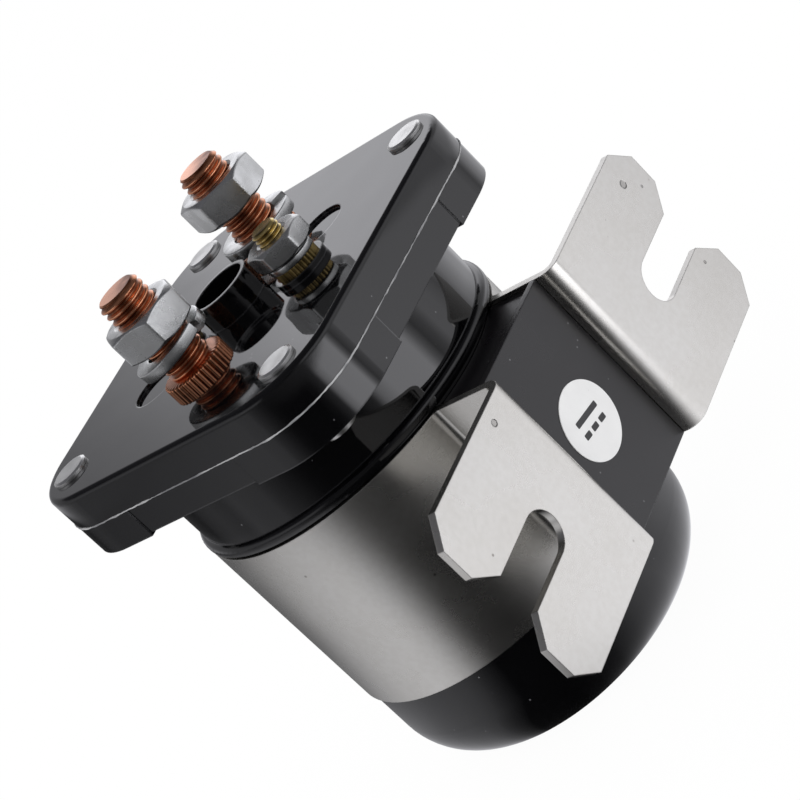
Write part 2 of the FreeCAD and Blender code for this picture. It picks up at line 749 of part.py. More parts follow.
def make_flux_plates():
    for name, bottom, bore in (
            ("lower_flux_plate", "Levels.plate_bottom", "Levels.tube_radius + Sizes.seat_clearance"),
            ("upper_flux_plate", "Levels.shell_top", "Sizes.core_neck + Sizes.seat_clearance / 2")):
        body = new_body(name)
        disc = new_sketch(body, "Disc", "XY_Plane", bottom)
        circle(disc, "Sizes.plate_radius")
        circle(disc, bore)
        if name == "upper_flux_plate":
            for side in (1, -1):
                circle(disc, "Sizes.lead_radius + Sizes.lead_clearance", "0",
                       signed(side, "Sizes.coil_spread"))
        pad(body, disc, "Sizes.plate_thick")


def make_tube(name, inner, outer, bottom, top):
    body = new_body(name)
    ring = new_sketch(body, "Ring", "XY_Plane", bottom)
    circle(ring, inner)
    circle(ring, outer)
    pad(body, ring, f"{top} - ({bottom})")
    return body


def make_magnet():
    make_flux_plates()
    low = "Levels.shell_bottom"
    top = "Levels.shell_top"
    gap = "Sizes.seat_clearance"
    make_tube("flux_shell", "Sizes.shell_radius - Sizes.shell_wall", "Sizes.shell_radius", low, top)
    make_tube("guide_tube", "Sizes.tube_bore", "Levels.tube_radius", "Levels.plate_bottom", top)
    barrel = f"Levels.tube_radius + {gap}"
    barrel_outer = f"{barrel} + Sizes.bobbin_wall"
    bobbin = turned("bobbin", [
        (barrel, f"{low} + {gap}"),
        ("Sizes.bobbin_flange", f"{low} + {gap}"),
        ("Sizes.bobbin_flange", f"{low} + {gap} + Sizes.bobbin_end"),
        (barrel_outer, f"{low} + {gap} + Sizes.bobbin_end"),
        (barrel_outer, f"{top} - {gap} - Sizes.bobbin_end"),
        ("Sizes.bobbin_flange", f"{top} - {gap} - Sizes.bobbin_end"),
        ("Sizes.bobbin_flange", f"{top} - {gap}"),
        (barrel, f"{top} - {gap}"),
    ])
    lead_holes = new_sketch(bobbin, "LeadHoles", "XY_Plane", top)
    for side in (1, -1):
        circle(lead_holes, f"Sizes.lead_radius + {gap}", "0", signed(side, "Sizes.coil_spread"))
    pocket(bobbin, lead_holes, f"2 * {gap} + Sizes.bobbin_end")
    make_tube("coil_winding", f"{barrel_outer} + {gap} / 2", "Sizes.winding_radius",
              f"{low} + {gap} + Sizes.bobbin_end", f"{top} - {gap} - Sizes.bobbin_end")
    core = "Sizes.tube_bore - Sizes.seat_clearance / 2"
    bore = "Sizes.rod_radius + Sizes.running_clearance"
    turned("fixed_core", [
        ("Sizes.spring_pocket_radius", "Levels.core_bottom"),
        (core, "Levels.core_bottom"),
        (core, top),
        ("Sizes.core_neck", top),
        ("Sizes.core_neck", "Levels.upper_plate_top"),
        (bore, "Levels.upper_plate_top"),
        (bore, "Levels.spring_roof"),
        ("Sizes.spring_pocket_radius", "Levels.spring_roof"),
    ])
    bumper = new_body("rest_bumper")
    disc = new_sketch(bumper, "Disc", "XY_Plane", "Levels.cup_floor")
    circle(disc, "Sizes.bumper_radius")
    pad(bumper, disc, "Sizes.bumper_thick")
    for side, name in ((-1, "front"), (1, "back")):
        lead = new_body(f"coil_lead_{name}")
        wire = new_sketch(lead, "Wire", "XY_Plane", f"{top} - {gap} - Sizes.bobbin_end")
        circle(wire, "Sizes.lead_radius", "0", signed(side, "Sizes.coil_spread"))
        pad(lead, wire, f"Levels.coil_tail_bottom - ({top} - {gap} - Sizes.bobbin_end)")


def make_spring(name, radius, wire, turns, bottom, top):
    """Wire coiled between two seats, with a many-sided section that keeps its faces few."""
    body = new_body(name)
    section = new_sketch(body, "Wire", "XZ_Plane")
    clear = "Sizes.seat_clearance"
    middle = f"{bottom} + {wire} / 2 + {clear}"
    corner = f"({wire} / 2 / cos({180 / WIRE_SIDES} deg))"
    corners = []
    for step in range(WIRE_SIDES):
        angle = 360 * (step + 0.5) / WIRE_SIDES
        corners.append((f"{radius} + {corner} * cos({angle} deg)",
                        f"{middle} + {corner} * sin({angle} deg)"))
    outline(section, corners)
    coil = body.newObject("PartDesign::AdditiveHelix", f"{name}_Coil")
    coil.Profile = section
    coil.ReferenceAxis = (section, ["V_Axis"])
    coil.Mode = "height-turns-angle"
    coil.Angle = 0
    coil.Growth = 0
    coil.setExpression("Height", f"{top} - {bottom} - {wire} - 2 * {clear}")
    coil.setExpression("Turns", turns)
    body.Tip = coil
    return body


def make_plunger():
    """Steel plunger, the rod pressed into it, and what the rod carries."""
    socket_floor = "Levels.plunger_top - Sizes.rod_socket"
    fit = "Sizes.seat_clearance / 5"
    turned("plunger", [
        ("0", "Levels.plunger_bottom"),
        ("Levels.plunger_radius", "Levels.plunger_bottom"),
        ("Levels.plunger_radius", "Levels.plunger_top"),
        (f"Sizes.rod_radius + {fit}", "Levels.plunger_top"),
        (f"Sizes.rod_radius + {fit}", socket_floor),
        ("0", socket_floor),
    ])
    turned("plunger_rod", [
        ("0", socket_floor),
        ("Sizes.rod_radius", socket_floor),
        ("Sizes.rod_radius", "Levels.seat_bottom"),
        ("Sizes.rod_neck", "Levels.seat_bottom"),
        ("Sizes.rod_neck", "Levels.clip_bottom"),
        ("Sizes.clip_groove", "Levels.clip_bottom"),
        ("Sizes.clip_groove", "Levels.clip_top"),
        ("Sizes.rod_neck", "Levels.clip_top"),
        ("Sizes.rod_neck", "Levels.rod_top - Sizes.rod_neck / 4"),
        ("Sizes.rod_neck * 3 / 4", "Levels.rod_top"),
        ("0", "Levels.rod_top"),
    ])
    neck_bore = "Sizes.rod_neck + Sizes.running_clearance"
    make_tube("spring_seat", neck_bore, "Sizes.seat_radius", "Levels.seat_bottom", "Levels.seat_top")
    clip = make_tube("rod_clip", f"Sizes.clip_groove + {fit}", "Sizes.clip_radius",
                     "Levels.clip_bottom", "Levels.clip_top")
    mouth = new_sketch(clip, "Mouth", "XY_Plane", "Levels.clip_top")
    box_outline(mouth, "-Sizes.clip_mouth / 2", "Sizes.clip_mouth / 2", "-2 * Sizes.clip_radius", "0")
    pocket(clip, mouth, "Sizes.clip_thick")
    make_spring("return_spring", "Sizes.return_spring_radius", "Sizes.return_spring_wire",
                "Sizes.return_spring_turns", "Levels.plunger_top", "Levels.spring_roof")
    make_spring("contact_spring", "Sizes.contact_spring_radius", "Sizes.contact_spring_wire",
                "Sizes.contact_spring_turns", "Levels.seat_top", "Levels.bushing_bottom")
    turned("bridge_bushing", [
        (neck_bore, "Levels.bushing_bottom"),
        ("Sizes.bushing_flange", "Levels.bushing_bottom"),
        ("Sizes.bushing_flange", "Levels.bridge_bottom"),
        ("Sizes.bushing_radius", "Levels.bridge_bottom"),
        ("Sizes.bushing_radius", "Levels.bridge_top"),
        (neck_bore, "Levels.bridge_top"),
    ])
    make_tube("bridge_washer", neck_bore, "Sizes.top_washer_radius", "Levels.bridge_top",
              "Levels.clip_bottom")
    make_bridge()


def make_bridge():
    """Copper bar with round ends that closes the two main studs' heads."""
    body = new_body("contact_bridge")
    half_long = "Sizes.bridge_length / 2"
    half_wide = "Sizes.bridge_width / 2"
    bar = new_sketch(body, "Bar", "XY_Plane", "Levels.bridge_bottom")
    box_outline(bar, f"-{half_long}", half_long, f"-{half_wide}", half_wide)
    plate = pad(body, bar, "Sizes.bridge_thick")
    dress(body, "Fillet", plate, lambda edge, box, middle: upright(box),
          "Sizes.bridge_width / 2 - Sizes.seat_clearance")
    hole = new_sketch(body, "Hole", "XY_Plane", "Levels.bridge_top")
    circle(hole, "Sizes.bushing_radius + Sizes.seat_clearance / 5")
    pocket(body, hole, "Sizes.bridge_thick")


def check_model():
    for item in doc.Objects:
        if "Invalid" in item.State or "Error" in item.State:
            raise RuntimeError(f"{item.Name} failed: {item.State}")
    for part in subparts:
        if part.Shape.isNull() or not part.Shape.isValid():
            raise RuntimeError(f"{part.Label} has no valid shape")
        if len(part.Shape.Solids) != 1:
            raise RuntimeError(f"{part.Label} has {len(part.Shape.Solids)} solids")


make_cup()
make_bracket()
make_panel()
make_label()
make_housing()
make_cover()
make_fasteners()
make_magnet()
make_plunger()
doc.recompute()
check_model()

os.makedirs("parts", exist_ok=True)
for part in subparts:
    part.Shape.exportStep(f"parts/{part.Label}.step")
print(f"{len(subparts)} sub-parts written")
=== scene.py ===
import json
import math

import bmesh
import bpy
from mathutils import Euler, Matrix, Vector


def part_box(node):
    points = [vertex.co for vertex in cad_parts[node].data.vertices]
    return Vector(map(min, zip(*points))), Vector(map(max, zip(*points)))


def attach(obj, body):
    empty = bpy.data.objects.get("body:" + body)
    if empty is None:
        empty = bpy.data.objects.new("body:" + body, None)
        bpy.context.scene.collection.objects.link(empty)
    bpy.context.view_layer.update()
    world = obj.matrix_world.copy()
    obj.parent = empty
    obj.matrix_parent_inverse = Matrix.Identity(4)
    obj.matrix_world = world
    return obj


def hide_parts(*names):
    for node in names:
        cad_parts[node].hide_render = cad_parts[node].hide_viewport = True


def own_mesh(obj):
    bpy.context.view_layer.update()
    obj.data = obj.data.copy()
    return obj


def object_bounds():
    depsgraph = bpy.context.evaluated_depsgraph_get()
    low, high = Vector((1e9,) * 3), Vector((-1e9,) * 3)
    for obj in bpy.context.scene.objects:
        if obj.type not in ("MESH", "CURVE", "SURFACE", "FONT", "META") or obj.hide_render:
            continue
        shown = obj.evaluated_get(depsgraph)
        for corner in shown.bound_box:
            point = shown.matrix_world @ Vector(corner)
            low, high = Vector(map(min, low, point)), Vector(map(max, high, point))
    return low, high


# Looks of a direct-current contactor. Lengths are in metres, and MM turns millimetres into them.
MM = 0.001
TAU = 2 * math.pi
FACE_REACH = 0.5 * MM  # how far from a sheet's face its punch marks show

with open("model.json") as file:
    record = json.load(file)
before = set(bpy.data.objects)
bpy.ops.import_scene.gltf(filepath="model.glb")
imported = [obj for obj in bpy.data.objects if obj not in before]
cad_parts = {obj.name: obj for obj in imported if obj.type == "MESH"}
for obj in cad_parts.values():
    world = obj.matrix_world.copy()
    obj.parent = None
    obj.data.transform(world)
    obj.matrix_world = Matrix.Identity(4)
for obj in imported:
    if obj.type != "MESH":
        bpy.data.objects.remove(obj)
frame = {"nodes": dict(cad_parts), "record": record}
cad_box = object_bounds()
nodes = frame["nodes"]
scene = bpy.context.scene
ROOT_BODY = "contactor"


# Node helpers

def set_inputs(tree, made, inputs):
    """Link each input whose value is a socket, and set the others."""
    for name, value in dict(inputs).items():
        if isinstance(value, bpy.types.NodeSocket):
            tree.links.new(value, made.inputs[name])
        else:
            made.inputs[name].default_value = value


def add(tree, kind, inputs=(), **settings):
    """One node with its settings and inputs."""
    made = tree.nodes.new(kind)
    for name, value in settings.items():
        setattr(made, name, value)
    set_inputs(tree, made, inputs)
    return made


def calc(tree, operation, *operands):
    return add(tree, "ShaderNodeMath", dict(enumerate(operands)), operation=operation).outputs[0]


def mix_colours(tree, factor, first, second):
    return add(tree, "ShaderNodeMix", {0: factor, 6: first, 7: second}, data_type="RGBA").outputs[2]


def stretch(tree, value, low, high, new_low, new_high, smooth=False):
    """Map one range of values onto another."""
    made = add(tree, "ShaderNodeMapRange",
               {"Value": value, "From Min": low, "From Max": high, "To Min": new_low, "To Max": new_high},
               interpolation_type="SMOOTHSTEP" if smooth else "LINEAR")
    return made.outputs["Result"]


def new_group(name, kind, inputs, outputs):
    """Node group with named sockets; inputs map a name to its kind and default."""
    tree = bpy.data.node_groups.new(name, kind)
    for label, (socket, default) in inputs.items():
        made = tree.interface.new_socket(name=label, in_out="INPUT", socket_type=f"NodeSocket{socket}")
        if default is not None:
            made.default_value = default
    for label, socket in outputs.items():
        tree.interface.new_socket(name=label, in_out="OUTPUT", socket_type=f"NodeSocket{socket}")
    return tree, tree.nodes.new("NodeGroupInput").outputs, tree.nodes.new("NodeGroupOutput").inputs


def effect(tree, group, inputs):
    """Place a shader group in a material and return its outputs."""
    made = tree.nodes.new("ShaderNodeGroup")
    made.node_tree = group
    set_inputs(tree, made, inputs)
    return made.outputs


# Effects that several finishes share

def make_clouding():
    """Slow change from place to place, as on plating, moulded skins and handled metal."""
    tree, given, out = new_group(
        "Clouding", "ShaderNodeTree",
        {"Vector": ("Vector", None), "Scale": ("Float", 60.0), "Detail": ("Float", 3.0),
         "Low": ("Float", 0.0), "High": ("Float", 1.0)}, {"Value": "Float"})
    noise = add(tree, "ShaderNodeTexNoise",
                {"Vector": given["Vector"], "Scale": given["Scale"], "Detail": given["Detail"]})
    value = stretch(tree, noise.outputs[0], 0.3, 0.7, given["Low"], given["High"], smooth=True)
    tree.links.new(value, out["Value"])
    return tree


def make_grain():
    """Fine pits and bumps, smaller than half a millimetre."""
    tree, given, out = new_group(
        "Grain", "ShaderNodeTree",
        {"Vector": ("Vector", None), "Scale": ("Float", 4000.0), "Coarse": ("Float", 0.3)},
        {"Height": "Float"})
    fine = add(tree, "ShaderNodeTexNoise",
               {"Vector": given["Vector"], "Scale": given["Scale"], "Detail": 2.0}).outputs[0]
    wide = add(tree, "ShaderNodeTexNoise",
               {"Vector": given["Vector"], "Scale": calc(tree, "MULTIPLY", given["Scale"], 0.12),
                "Detail": 2.0}).outputs[0]
    height = calc(tree, "MULTIPLY_ADD", wide, given["Coarse"], fine)
    tree.links.new(height, out["Height"])
    return tree


def make_scratches():
    """Thin handling scratches in two directions, in patches."""
    tree, given, out = new_group(
        "Scratches", "ShaderNodeTree",
        {"Vector": ("Vector", None), "Scale": ("Float", 120.0), "Amount": ("Float", 0.5)},
        {"Mask": "Float"})
    layers = []
    for turn, seed in ((0.5, 0.0), (-0.9, 3.7)):
        laid = add(tree, "ShaderNodeMapping",
                   {"Vector": given["Vector"], "Location": (seed, seed, seed),
                    "Rotation": (turn, turn * 0.7, turn * 1.3), "Scale": (1.0, 14.0, 14.0)})
        noise = add(tree, "ShaderNodeTexNoise",
                    {"Vector": laid.outputs[0], "Scale": given["Scale"], "Detail": 1.0}).outputs[0]
        away = calc(tree, "ABSOLUTE", calc(tree, "SUBTRACT", noise, 0.5))
        layers.append(stretch(tree, away, 0.0, 0.012, 1.0, 0.0))
    patches = add(tree, "ShaderNodeTexNoise", {"Vector": given["Vector"], "Scale": 90.0}).outputs[0]
    patches = stretch(tree, patches, 0.45, 0.65, 0.0, 1.0, smooth=True)
    lines = calc(tree, "MULTIPLY", calc(tree, "MAXIMUM", *layers), patches)
    tree.links.new(calc(tree, "MULTIPLY", lines, given["Amount"]), out["Mask"])
    return tree


def make_specks():
    """Sparse dust and tiny pits."""
    tree, given, out = new_group(
        "Specks", "ShaderNodeTree",
        {"Vector": ("Vector", None), "Scale": ("Float", 500.0), "Share": ("Float", 0.1),
         "Size": ("Float", 0.18)}, {"Mask": "Float"})
    cells = add(tree, "ShaderNodeTexVoronoi", {"Vector": given["Vector"], "Scale": given["Scale"]})
    chosen = calc(tree, "LESS_THAN", add(tree, "ShaderNodeSeparateColor",
                                         {0: cells.outputs["Color"]}).outputs[0], given["Share"])
    near = stretch(tree, cells.outputs["Distance"], 0.0, given["Size"], 1.0, 0.0, smooth=True)
    tree.links.new(calc(tree, "MULTIPLY", chosen, near), out["Mask"])
    return tree


def make_edges():
    """Where a sharp edge lies within the given radius, and the softened normal there."""
    tree, given, out = new_group(
        "Soft edges", "ShaderNodeTree", {"Radius": ("Float", 0.0003)},
        {"Mask": "Float", "Normal": "Vector"})
    bevel = add(tree, "ShaderNodeBevel", {"Radius": given["Radius"]}, samples=4).outputs[0]
    normal = add(tree, "ShaderNodeNewGeometry").outputs["Normal"]
    along = add(tree, "ShaderNodeVectorMath", {0: bevel, 1: normal}, operation="DOT_PRODUCT")
    tree.links.new(stretch(tree, along.outputs["Value"], 0.8, 0.995, 1.0, 0.0), out["Mask"])
    tree.links.new(bevel, out["Normal"])
    return tree


def make_punch_mark():
    """Round shallow mark in the face of a flat sheet that faces along Y."""
    tree, given, out = new_group(
        "Punch mark", "ShaderNodeTree",
        {"Vector": ("Vector", None), "Centre": ("Vector", None), "Radius": ("Float", 0.001)},
        {"Depth": "Float"})
    away = add(tree, "ShaderNodeVectorMath", {0: given["Vector"], 1: given["Centre"]},
               operation="SUBTRACT").outputs[0]
    parts = add(tree, "ShaderNodeSeparateXYZ", {0: away}).outputs
    flat = calc(tree, "SQRT", calc(tree, "ADD", calc(tree, "MULTIPLY", parts[0], parts[0]),
                                   calc(tree, "MULTIPLY", parts[2], parts[2])))
    near = stretch(tree, calc(tree, "DIVIDE", flat, given["Radius"]), 0.6, 1.0, 1.0, 0.0, smooth=True)
    on_face = calc(tree, "LESS_THAN", calc(tree, "ABSOLUTE", parts[1]), FACE_REACH)
    tree.links.new(calc(tree, "MULTIPLY", near, on_face), out["Depth"])
    return tree


clouding = make_clouding()
grain = make_grain()
scratches = make_scratches()
specks = make_specks()
edges = make_edges()
punch_mark = make_punch_mark()


# Finishes

def new_material(name):
    made = bpy.data.materials.new(name)
    made.use_nodes = True
    tree = made.node_tree
    where = add(tree, "ShaderNodeTexCoord").outputs["Object"]
    return made, tree, tree.nodes["Principled BSDF"], where


def bumped(tree, height, distance, normal=None):
    inputs = {"Height": height, "Distance": distance}
    if normal is not None:
        inputs["Normal"] = normal
    return add(tree, "ShaderNodeBump", inputs).outputs[0]


def make_moulding(name, colour, gloss, haze, dust):
    """Moulded plastic: a glossy skin with slow sink marks, smudges, dust and hairline scratches."""
    made, tree, shader, where = new_material(name)
    smudge = effect(tree, clouding, {"Vector": where, "Scale": 45.0, "Detail": 5.0,
                                     "Low": gloss, "High": haze})["Value"]
    marks = effect(tree, scratches, {"Vector": where, "Scale": 160.0, "Amount": 0.25})["Mask"]
    motes = effect(tree, specks, {"Vector": where, "Scale": 900.0, "Share": dust, "Size": 0.2})["Mask"]
    soft = effect(tree, edges, {"Radius": 0.35 * MM})
    shade = mix_colours(tree, motes, colour, (0.16, 0.16, 0.17, 1))
    shade = mix_colours(tree, calc(tree, "MULTIPLY", soft["Mask"], 0.25), shade, (0.05, 0.05, 0.055, 1))
    rough = calc(tree, "ADD", smudge, calc(tree, "MULTIPLY", marks, 0.2))
    sink = effect(tree, clouding, {"Vector": where, "Scale": 70.0, "Detail": 1.0})["Value"]
    skin = effect(tree, grain, {"Vector": where, "Scale": 2500.0, "Coarse": 1.0})["Height"]
    normal = bumped(tree, sink, 0.02 * MM, soft["Normal"])
    normal = bumped(tree, skin, 0.0003 * MM, normal)
    set_inputs(tree, shader, {"Base Color": shade, "Roughness": rough, "Normal": normal,
                              "IOR": 1.52})
    return made


def make_plated_sheet(name):
    """Nickel-plated sheet steel: cloudy satin, fine pits, handling marks and a few punch marks, whose dents
    are also darkened in colour as painted shade.
    """
    made, tree, shader, where = new_material(name)
    cloud = effect(tree, clouding, {"Vector": where, "Scale": 55.0, "Detail": 6.0})["Value"]
    fine = effect(tree, clouding, {"Vector": where, "Scale": 900.0, "Detail": 4.0})["Value"]
    marks = effect(tree, scratches, {"Vector": where, "Scale": 110.0, "Amount": 0.6})["Mask"]
    pits = effect(tree, specks, {"Vector": where, "Scale": 420.0, "Share": 0.05, "Size": 0.16})["Mask"]
    soft = effect(tree, edges, {"Radius": 0.25 * MM})
    shade = mix_colours(tree, cloud, (0.64, 0.625, 0.59, 1), (0.69, 0.68, 0.65, 1))
    shade = mix_colours(tree, calc(tree, "MULTIPLY", fine, 0.25), shade, (0.56, 0.54, 0.5, 1))
    shade = mix_colours(tree, pits, shade, (0.25, 0.23, 0.21, 1))
    dimples_and_painted_shade = None
    for centre, radius in PUNCH_MARKS:
        depth = effect(tree, punch_mark, {"Vector": where, "Centre": centre, "Radius": radius})["Depth"]
        dimples_and_painted_shade = depth if dimples_and_painted_shade is None else calc(tree, "MAXIMUM", dimples_and_painted_shade, depth)
    # Painted shade: the punch marks' dents are darkened in colour, besides their bump.
    shade = mix_colours(tree, calc(tree, "MULTIPLY", dimples_and_painted_shade, 0.45), shade, (0.2, 0.19, 0.18, 1))
    rough = calc(tree, "ADD", stretch(tree, cloud, 0.0, 1.0, 0.24, 0.3), calc(tree, "MULTIPLY", marks, 0.1))
    skin = effect(tree, grain, {"Vector": where, "Scale": 3600.0, "Coarse": 0.5})["Height"]
    normal = bumped(tree, skin, 0.004 * MM, soft["Normal"])
    normal = bumped(tree, calc(tree, "SUBTRACT", 1.0, dimples_and_painted_shade), 0.25 * MM, normal)
    set_inputs(tree, shader, {"Base Color": shade, "Metallic": 1.0, "Roughness": rough,
                              "Normal": normal})
    return made


def make_plain_metal(name, bright, dull, rough, pitting=0.08, grain_depth=0.003):
    """Turned, stamped or plated metal with clouds, scratches and pits."""
    made, tree, shader, where = new_material(name)
    cloud = effect(tree, clouding, {"Vector": where, "Scale": 260.0, "Detail": 4.0})["Value"]
    marks = effect(tree, scratches, {"Vector": where, "Scale": 300.0, "Amount": 0.7})["Mask"]
    pits = effect(tree, specks, {"Vector": where, "Scale": 1400.0, "Share": pitting, "Size": 0.3})["Mask"]
    soft = effect(tree, edges, {"Radius": 0.15 * MM})
    shade = mix_colours(tree, cloud, dull, bright)
    shade = mix_colours(tree, calc(tree, "MULTIPLY", pits, 0.5), shade, (0.1, 0.09, 0.08, 1))
    spread = calc(tree, "MULTIPLY_ADD", cloud, -0.08, rough + 0.04)
    spread = calc(tree, "ADD", spread, calc(tree, "MULTIPLY", marks, 0.15))
    skin = effect(tree, grain, {"Vector": where, "Scale": 5000.0, "Coarse": 1.2})["Height"]
    normal = bumped(tree, skin, grain_depth * MM, soft["Normal"])
    set_inputs(tree, shader, {"Base Color": shade, "Metallic": 1.0, "Roughness": spread,
                              "Normal": normal})
    return made


def make_threaded_metal(name, crest, root, rough):
    """Bare copper or brass whose thread roots and knurl grooves hold dark oxide, and whose shaded collars
    are darkened all over with painted shade.
    """
    made, tree, shader, where = new_material(name)
    hollow = add(tree, "ShaderNodeAttribute", (), attribute_name="hollow").outputs["Fac"]
    cloud = effect(tree, clouding, {"Vector": where, "Scale": 350.0, "Detail": 5.0})["Value"]
    stain = effect(tree, clouding, {"Vector": where, "Scale": 140.0, "Detail": 6.0})["Value"]
    marks = effect(tree, scratches, {"Vector": where, "Scale": 500.0, "Amount": 0.6})["Mask"]
    # Dark oxide in the thread roots and knurl grooves; on the coil studs' collars the same mix is painted
    # shade over the whole collar, standing in for the shadow under their washers.
    oxide_and_painted_shade = calc(tree, "MULTIPLY", calc(tree, "POWER", hollow, 1.5),
                calc(tree, "MULTIPLY_ADD", cloud, 0.4, 0.6))
    shade = mix_colours(tree, calc(tree, "MULTIPLY", stain, 0.45), crest,
                        (crest[0] * 0.72, crest[1] * 0.62, crest[2] * 0.6, 1))
    shade = mix_colours(tree, oxide_and_painted_shade, shade, root)
    spread = calc(tree, "ADD", stretch(tree, oxide_and_painted_shade, 0.0, 1.0, rough, rough + 0.2),
                  calc(tree, "MULTIPLY", marks, 0.15))
    skin = effect(tree, grain, {"Vector": where, "Scale": 4200.0, "Coarse": 1.2})["Height"]
    normal = bumped(tree, skin, 0.004 * MM)
    set_inputs(tree, shader, {"Base Color": shade, "Metallic": 1.0, "Roughness": spread,
                              "Normal": normal})
    return made


def make_soft_plastic(name, first, second, rough, height=0.004):
    """Nylon, paper, rubber and the like: no gloss, with a fine skin."""
    made, tree, shader, where = new_material(name)
    cloud = effect(tree, clouding, {"Vector": where, "Scale": 180.0, "Detail": 5.0})["Value"]
    motes = effect(tree, specks, {"Vector": where, "Scale": 1100.0, "Share": 0.03, "Size": 0.2})["Mask"]
    shade = mix_colours(tree, cloud, first, second)
    shade = mix_colours(tree, calc(tree, "MULTIPLY", motes, 0.3), shade, (0.3, 0.3, 0.3, 1))
    spread = stretch(tree, cloud, 0.0, 1.0, rough, rough + 0.08)
    skin = effect(tree, grain, {"Vector": where, "Scale": 3000.0, "Coarse": 0.8})["Height"]
    set_inputs(tree, shader, {"Base Color": shade, "Roughness": spread,
                              "Normal": bumped(tree, skin, height * MM)})
    return made


def make_winding(name):
    """Enamelled wire laid in close turns up the bobbin, each turn painted darker in its grooves and lighter
    on its crest as painted shade and highlight.
    """
    made, tree, shader, where = new_material(name)
    turns = add(tree, "ShaderNodeTexWave", {"Vector": where, "Scale": 320.0, "Distortion": 0.6,
                                            "Detail": 1.0}, wave_type="BANDS", bands_direction="Z")
    # Painted shade and highlight: the colour follows the bump's bands, dark in the grooves between turns
    # and bright on the crests.
    shade = mix_colours(tree, turns.outputs["Fac"], (0.2, 0.06, 0.025, 1), (0.62, 0.26, 0.12, 1))
    set_inputs(tree, shader, {"Base Color": shade, "Metallic": 1.0, "Roughness": 0.3,
                              "Normal": bumped(tree, turns.outputs["Fac"], 0.1 * MM)})
    return made


EAR_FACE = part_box("mounting_bracket")[0].y
PUNCH_MARKS = [
    (Vector((37.6 * MM, EAR_FACE, 51.8 * MM)), 0.85 * MM),
    (Vector((-19.5 * MM, EAR_FACE, 54.2 * MM)), 0.7 * MM),
    (Vector((40.6 * MM, EAR_FACE, 48.6 * MM)), 0.3 * MM),
    (Vector((39.1 * MM, EAR_FACE, 32.2 * MM)), 0.35 * MM),
]

FINISHES = {
    "black_moulding": make_moulding("Glossy black moulding", (0.0012, 0.0012, 0.0015, 1), 0.02, 0.05, 0.02),
    "black_panel": make_moulding("Satin black panel", (0.005, 0.0045, 0.0055, 1), 0.26, 0.34, 0.05),
    "plated_strap": make_plated_sheet("Nickel-plated strap"),
    "plated_fastener": make_plain_metal("Zinc-plated fastener", (0.74, 0.75, 0.75, 1),
                                        (0.58, 0.585, 0.58, 1), 0.26, 0.14, 0.006),
    "rivet_metal": make_plain_metal("Rivet head", (0.82, 0.82, 0.81, 1), (0.72, 0.72, 0.71, 1), 0.34,
                                    0.12, 0.006),
    "stud_copper": make_threaded_metal("Bare copper", (0.9, 0.4, 0.22, 1), (0.09, 0.022, 0.008, 1), 0.2),
    "stud_brass": make_threaded_metal("Bare brass", (0.95, 0.74, 0.3, 1), (0.05, 0.03, 0.01, 1), 0.2),
    "magnet_steel": make_plain_metal("Plain steel", (0.56, 0.56, 0.55, 1), (0.44, 0.43, 0.42, 1), 0.32),
    "spring_steel": make_plain_metal("Spring wire", (0.5, 0.5, 0.5, 1), (0.36, 0.36, 0.36, 1), 0.25),
    "winding_copper": make_winding("Enamelled winding"),
    "bobbin_nylon": make_soft_plastic("Natural nylon", (0.78, 0.75, 0.66, 1), (0.84, 0.82, 0.74, 1), 0.42),
    "white_label": make_soft_plastic("White label", (0.72, 0.72, 0.725, 1), (0.76, 0.76, 0.765, 1),
                                     0.28, 0.001),
    "bumper_rubber": make_soft_plastic("Black rubber", (0.02, 0.02, 0.02, 1), (0.03, 0.03, 0.03, 1), 0.7),
}
ink = make_soft_plastic("Printed ink", (0.015, 0.015, 0.016, 1), (0.03, 0.03, 0.032, 1), 0.4, 0.001)
flash_skin = make_soft_plastic("Rough flash edge", (0.10, 0.10, 0.11, 1), (0.42, 0.42, 0.43, 1), 0.5, 0.02)

for part in frame["record"]["subparts"]:
    finish = FINISHES[part["material_slot"]]
    nodes[part["node"]].data.materials.clear()
    nodes[part["node"]].data.materials.append(finish)


# Mesh helpers

def new_piece(name, mesh, body, slot, material=None):
    """Show a finished mesh as a piece that rides on a body."""
    piece = bpy.data.objects.new(name, mesh)
    scene.collection.objects.link(piece)
    mesh.materials.clear()
    mesh.materials.append(material or FINISHES[slot])
    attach(piece, body)
    return piece


def new_holder(mesh):
    """Object that carries a mesh while it is worked on."""
    holder = bpy.data.objects.new(mesh.name, mesh)
    scene.collection.objects.link(holder)
    return holder


def finished_mesh(holder):
    """Mesh of a holder with its modifier applied; the holder goes."""
    graph = bpy.context.evaluated_depsgraph_get()
    mesh = bpy.data.meshes.new_from_object(holder.evaluated_get(graph))
    bpy.data.objects.remove(holder)
    return mesh


def smooth(mesh, angle=40):
    """Shade a mesh smooth, apart from edges that are sharper than the angle in degrees."""
    mesh.shade_smooth()
    mesh.set_sharp_from_angle(angle=math.radians(angle))
    return mesh


def mesh_of(shape, name):
    mesh = bpy.data.meshes.new(name)
    shape.to_mesh(mesh)
    shape.free()
    return mesh


def grown_mesh(name, tree, values):
    """Mesh that a geometry tree makes from the given input values."""
    holder = new_holder(bpy.data.meshes.new(name))
    modifier = holder.modifiers.new("Shape", "NODES")
    modifier.node_group = tree
    for item in tree.interface.items_tree:
        if item.item_type == "SOCKET" and item.in_out == "INPUT" and item.name in values:
            modifier[item.identifier] = values[item.name]
    mesh = finished_mesh(holder)
    mesh.name = name
    return smooth(mesh)


def weighted(mesh):
    """Keep broad faces flat beside their narrow softened edges."""
    holder = new_holder(smooth(mesh, 24))
    holder.modifiers.new("Normals", "WEIGHTED_NORMAL").keep_sharp = True
    return finished_mesh(holder)


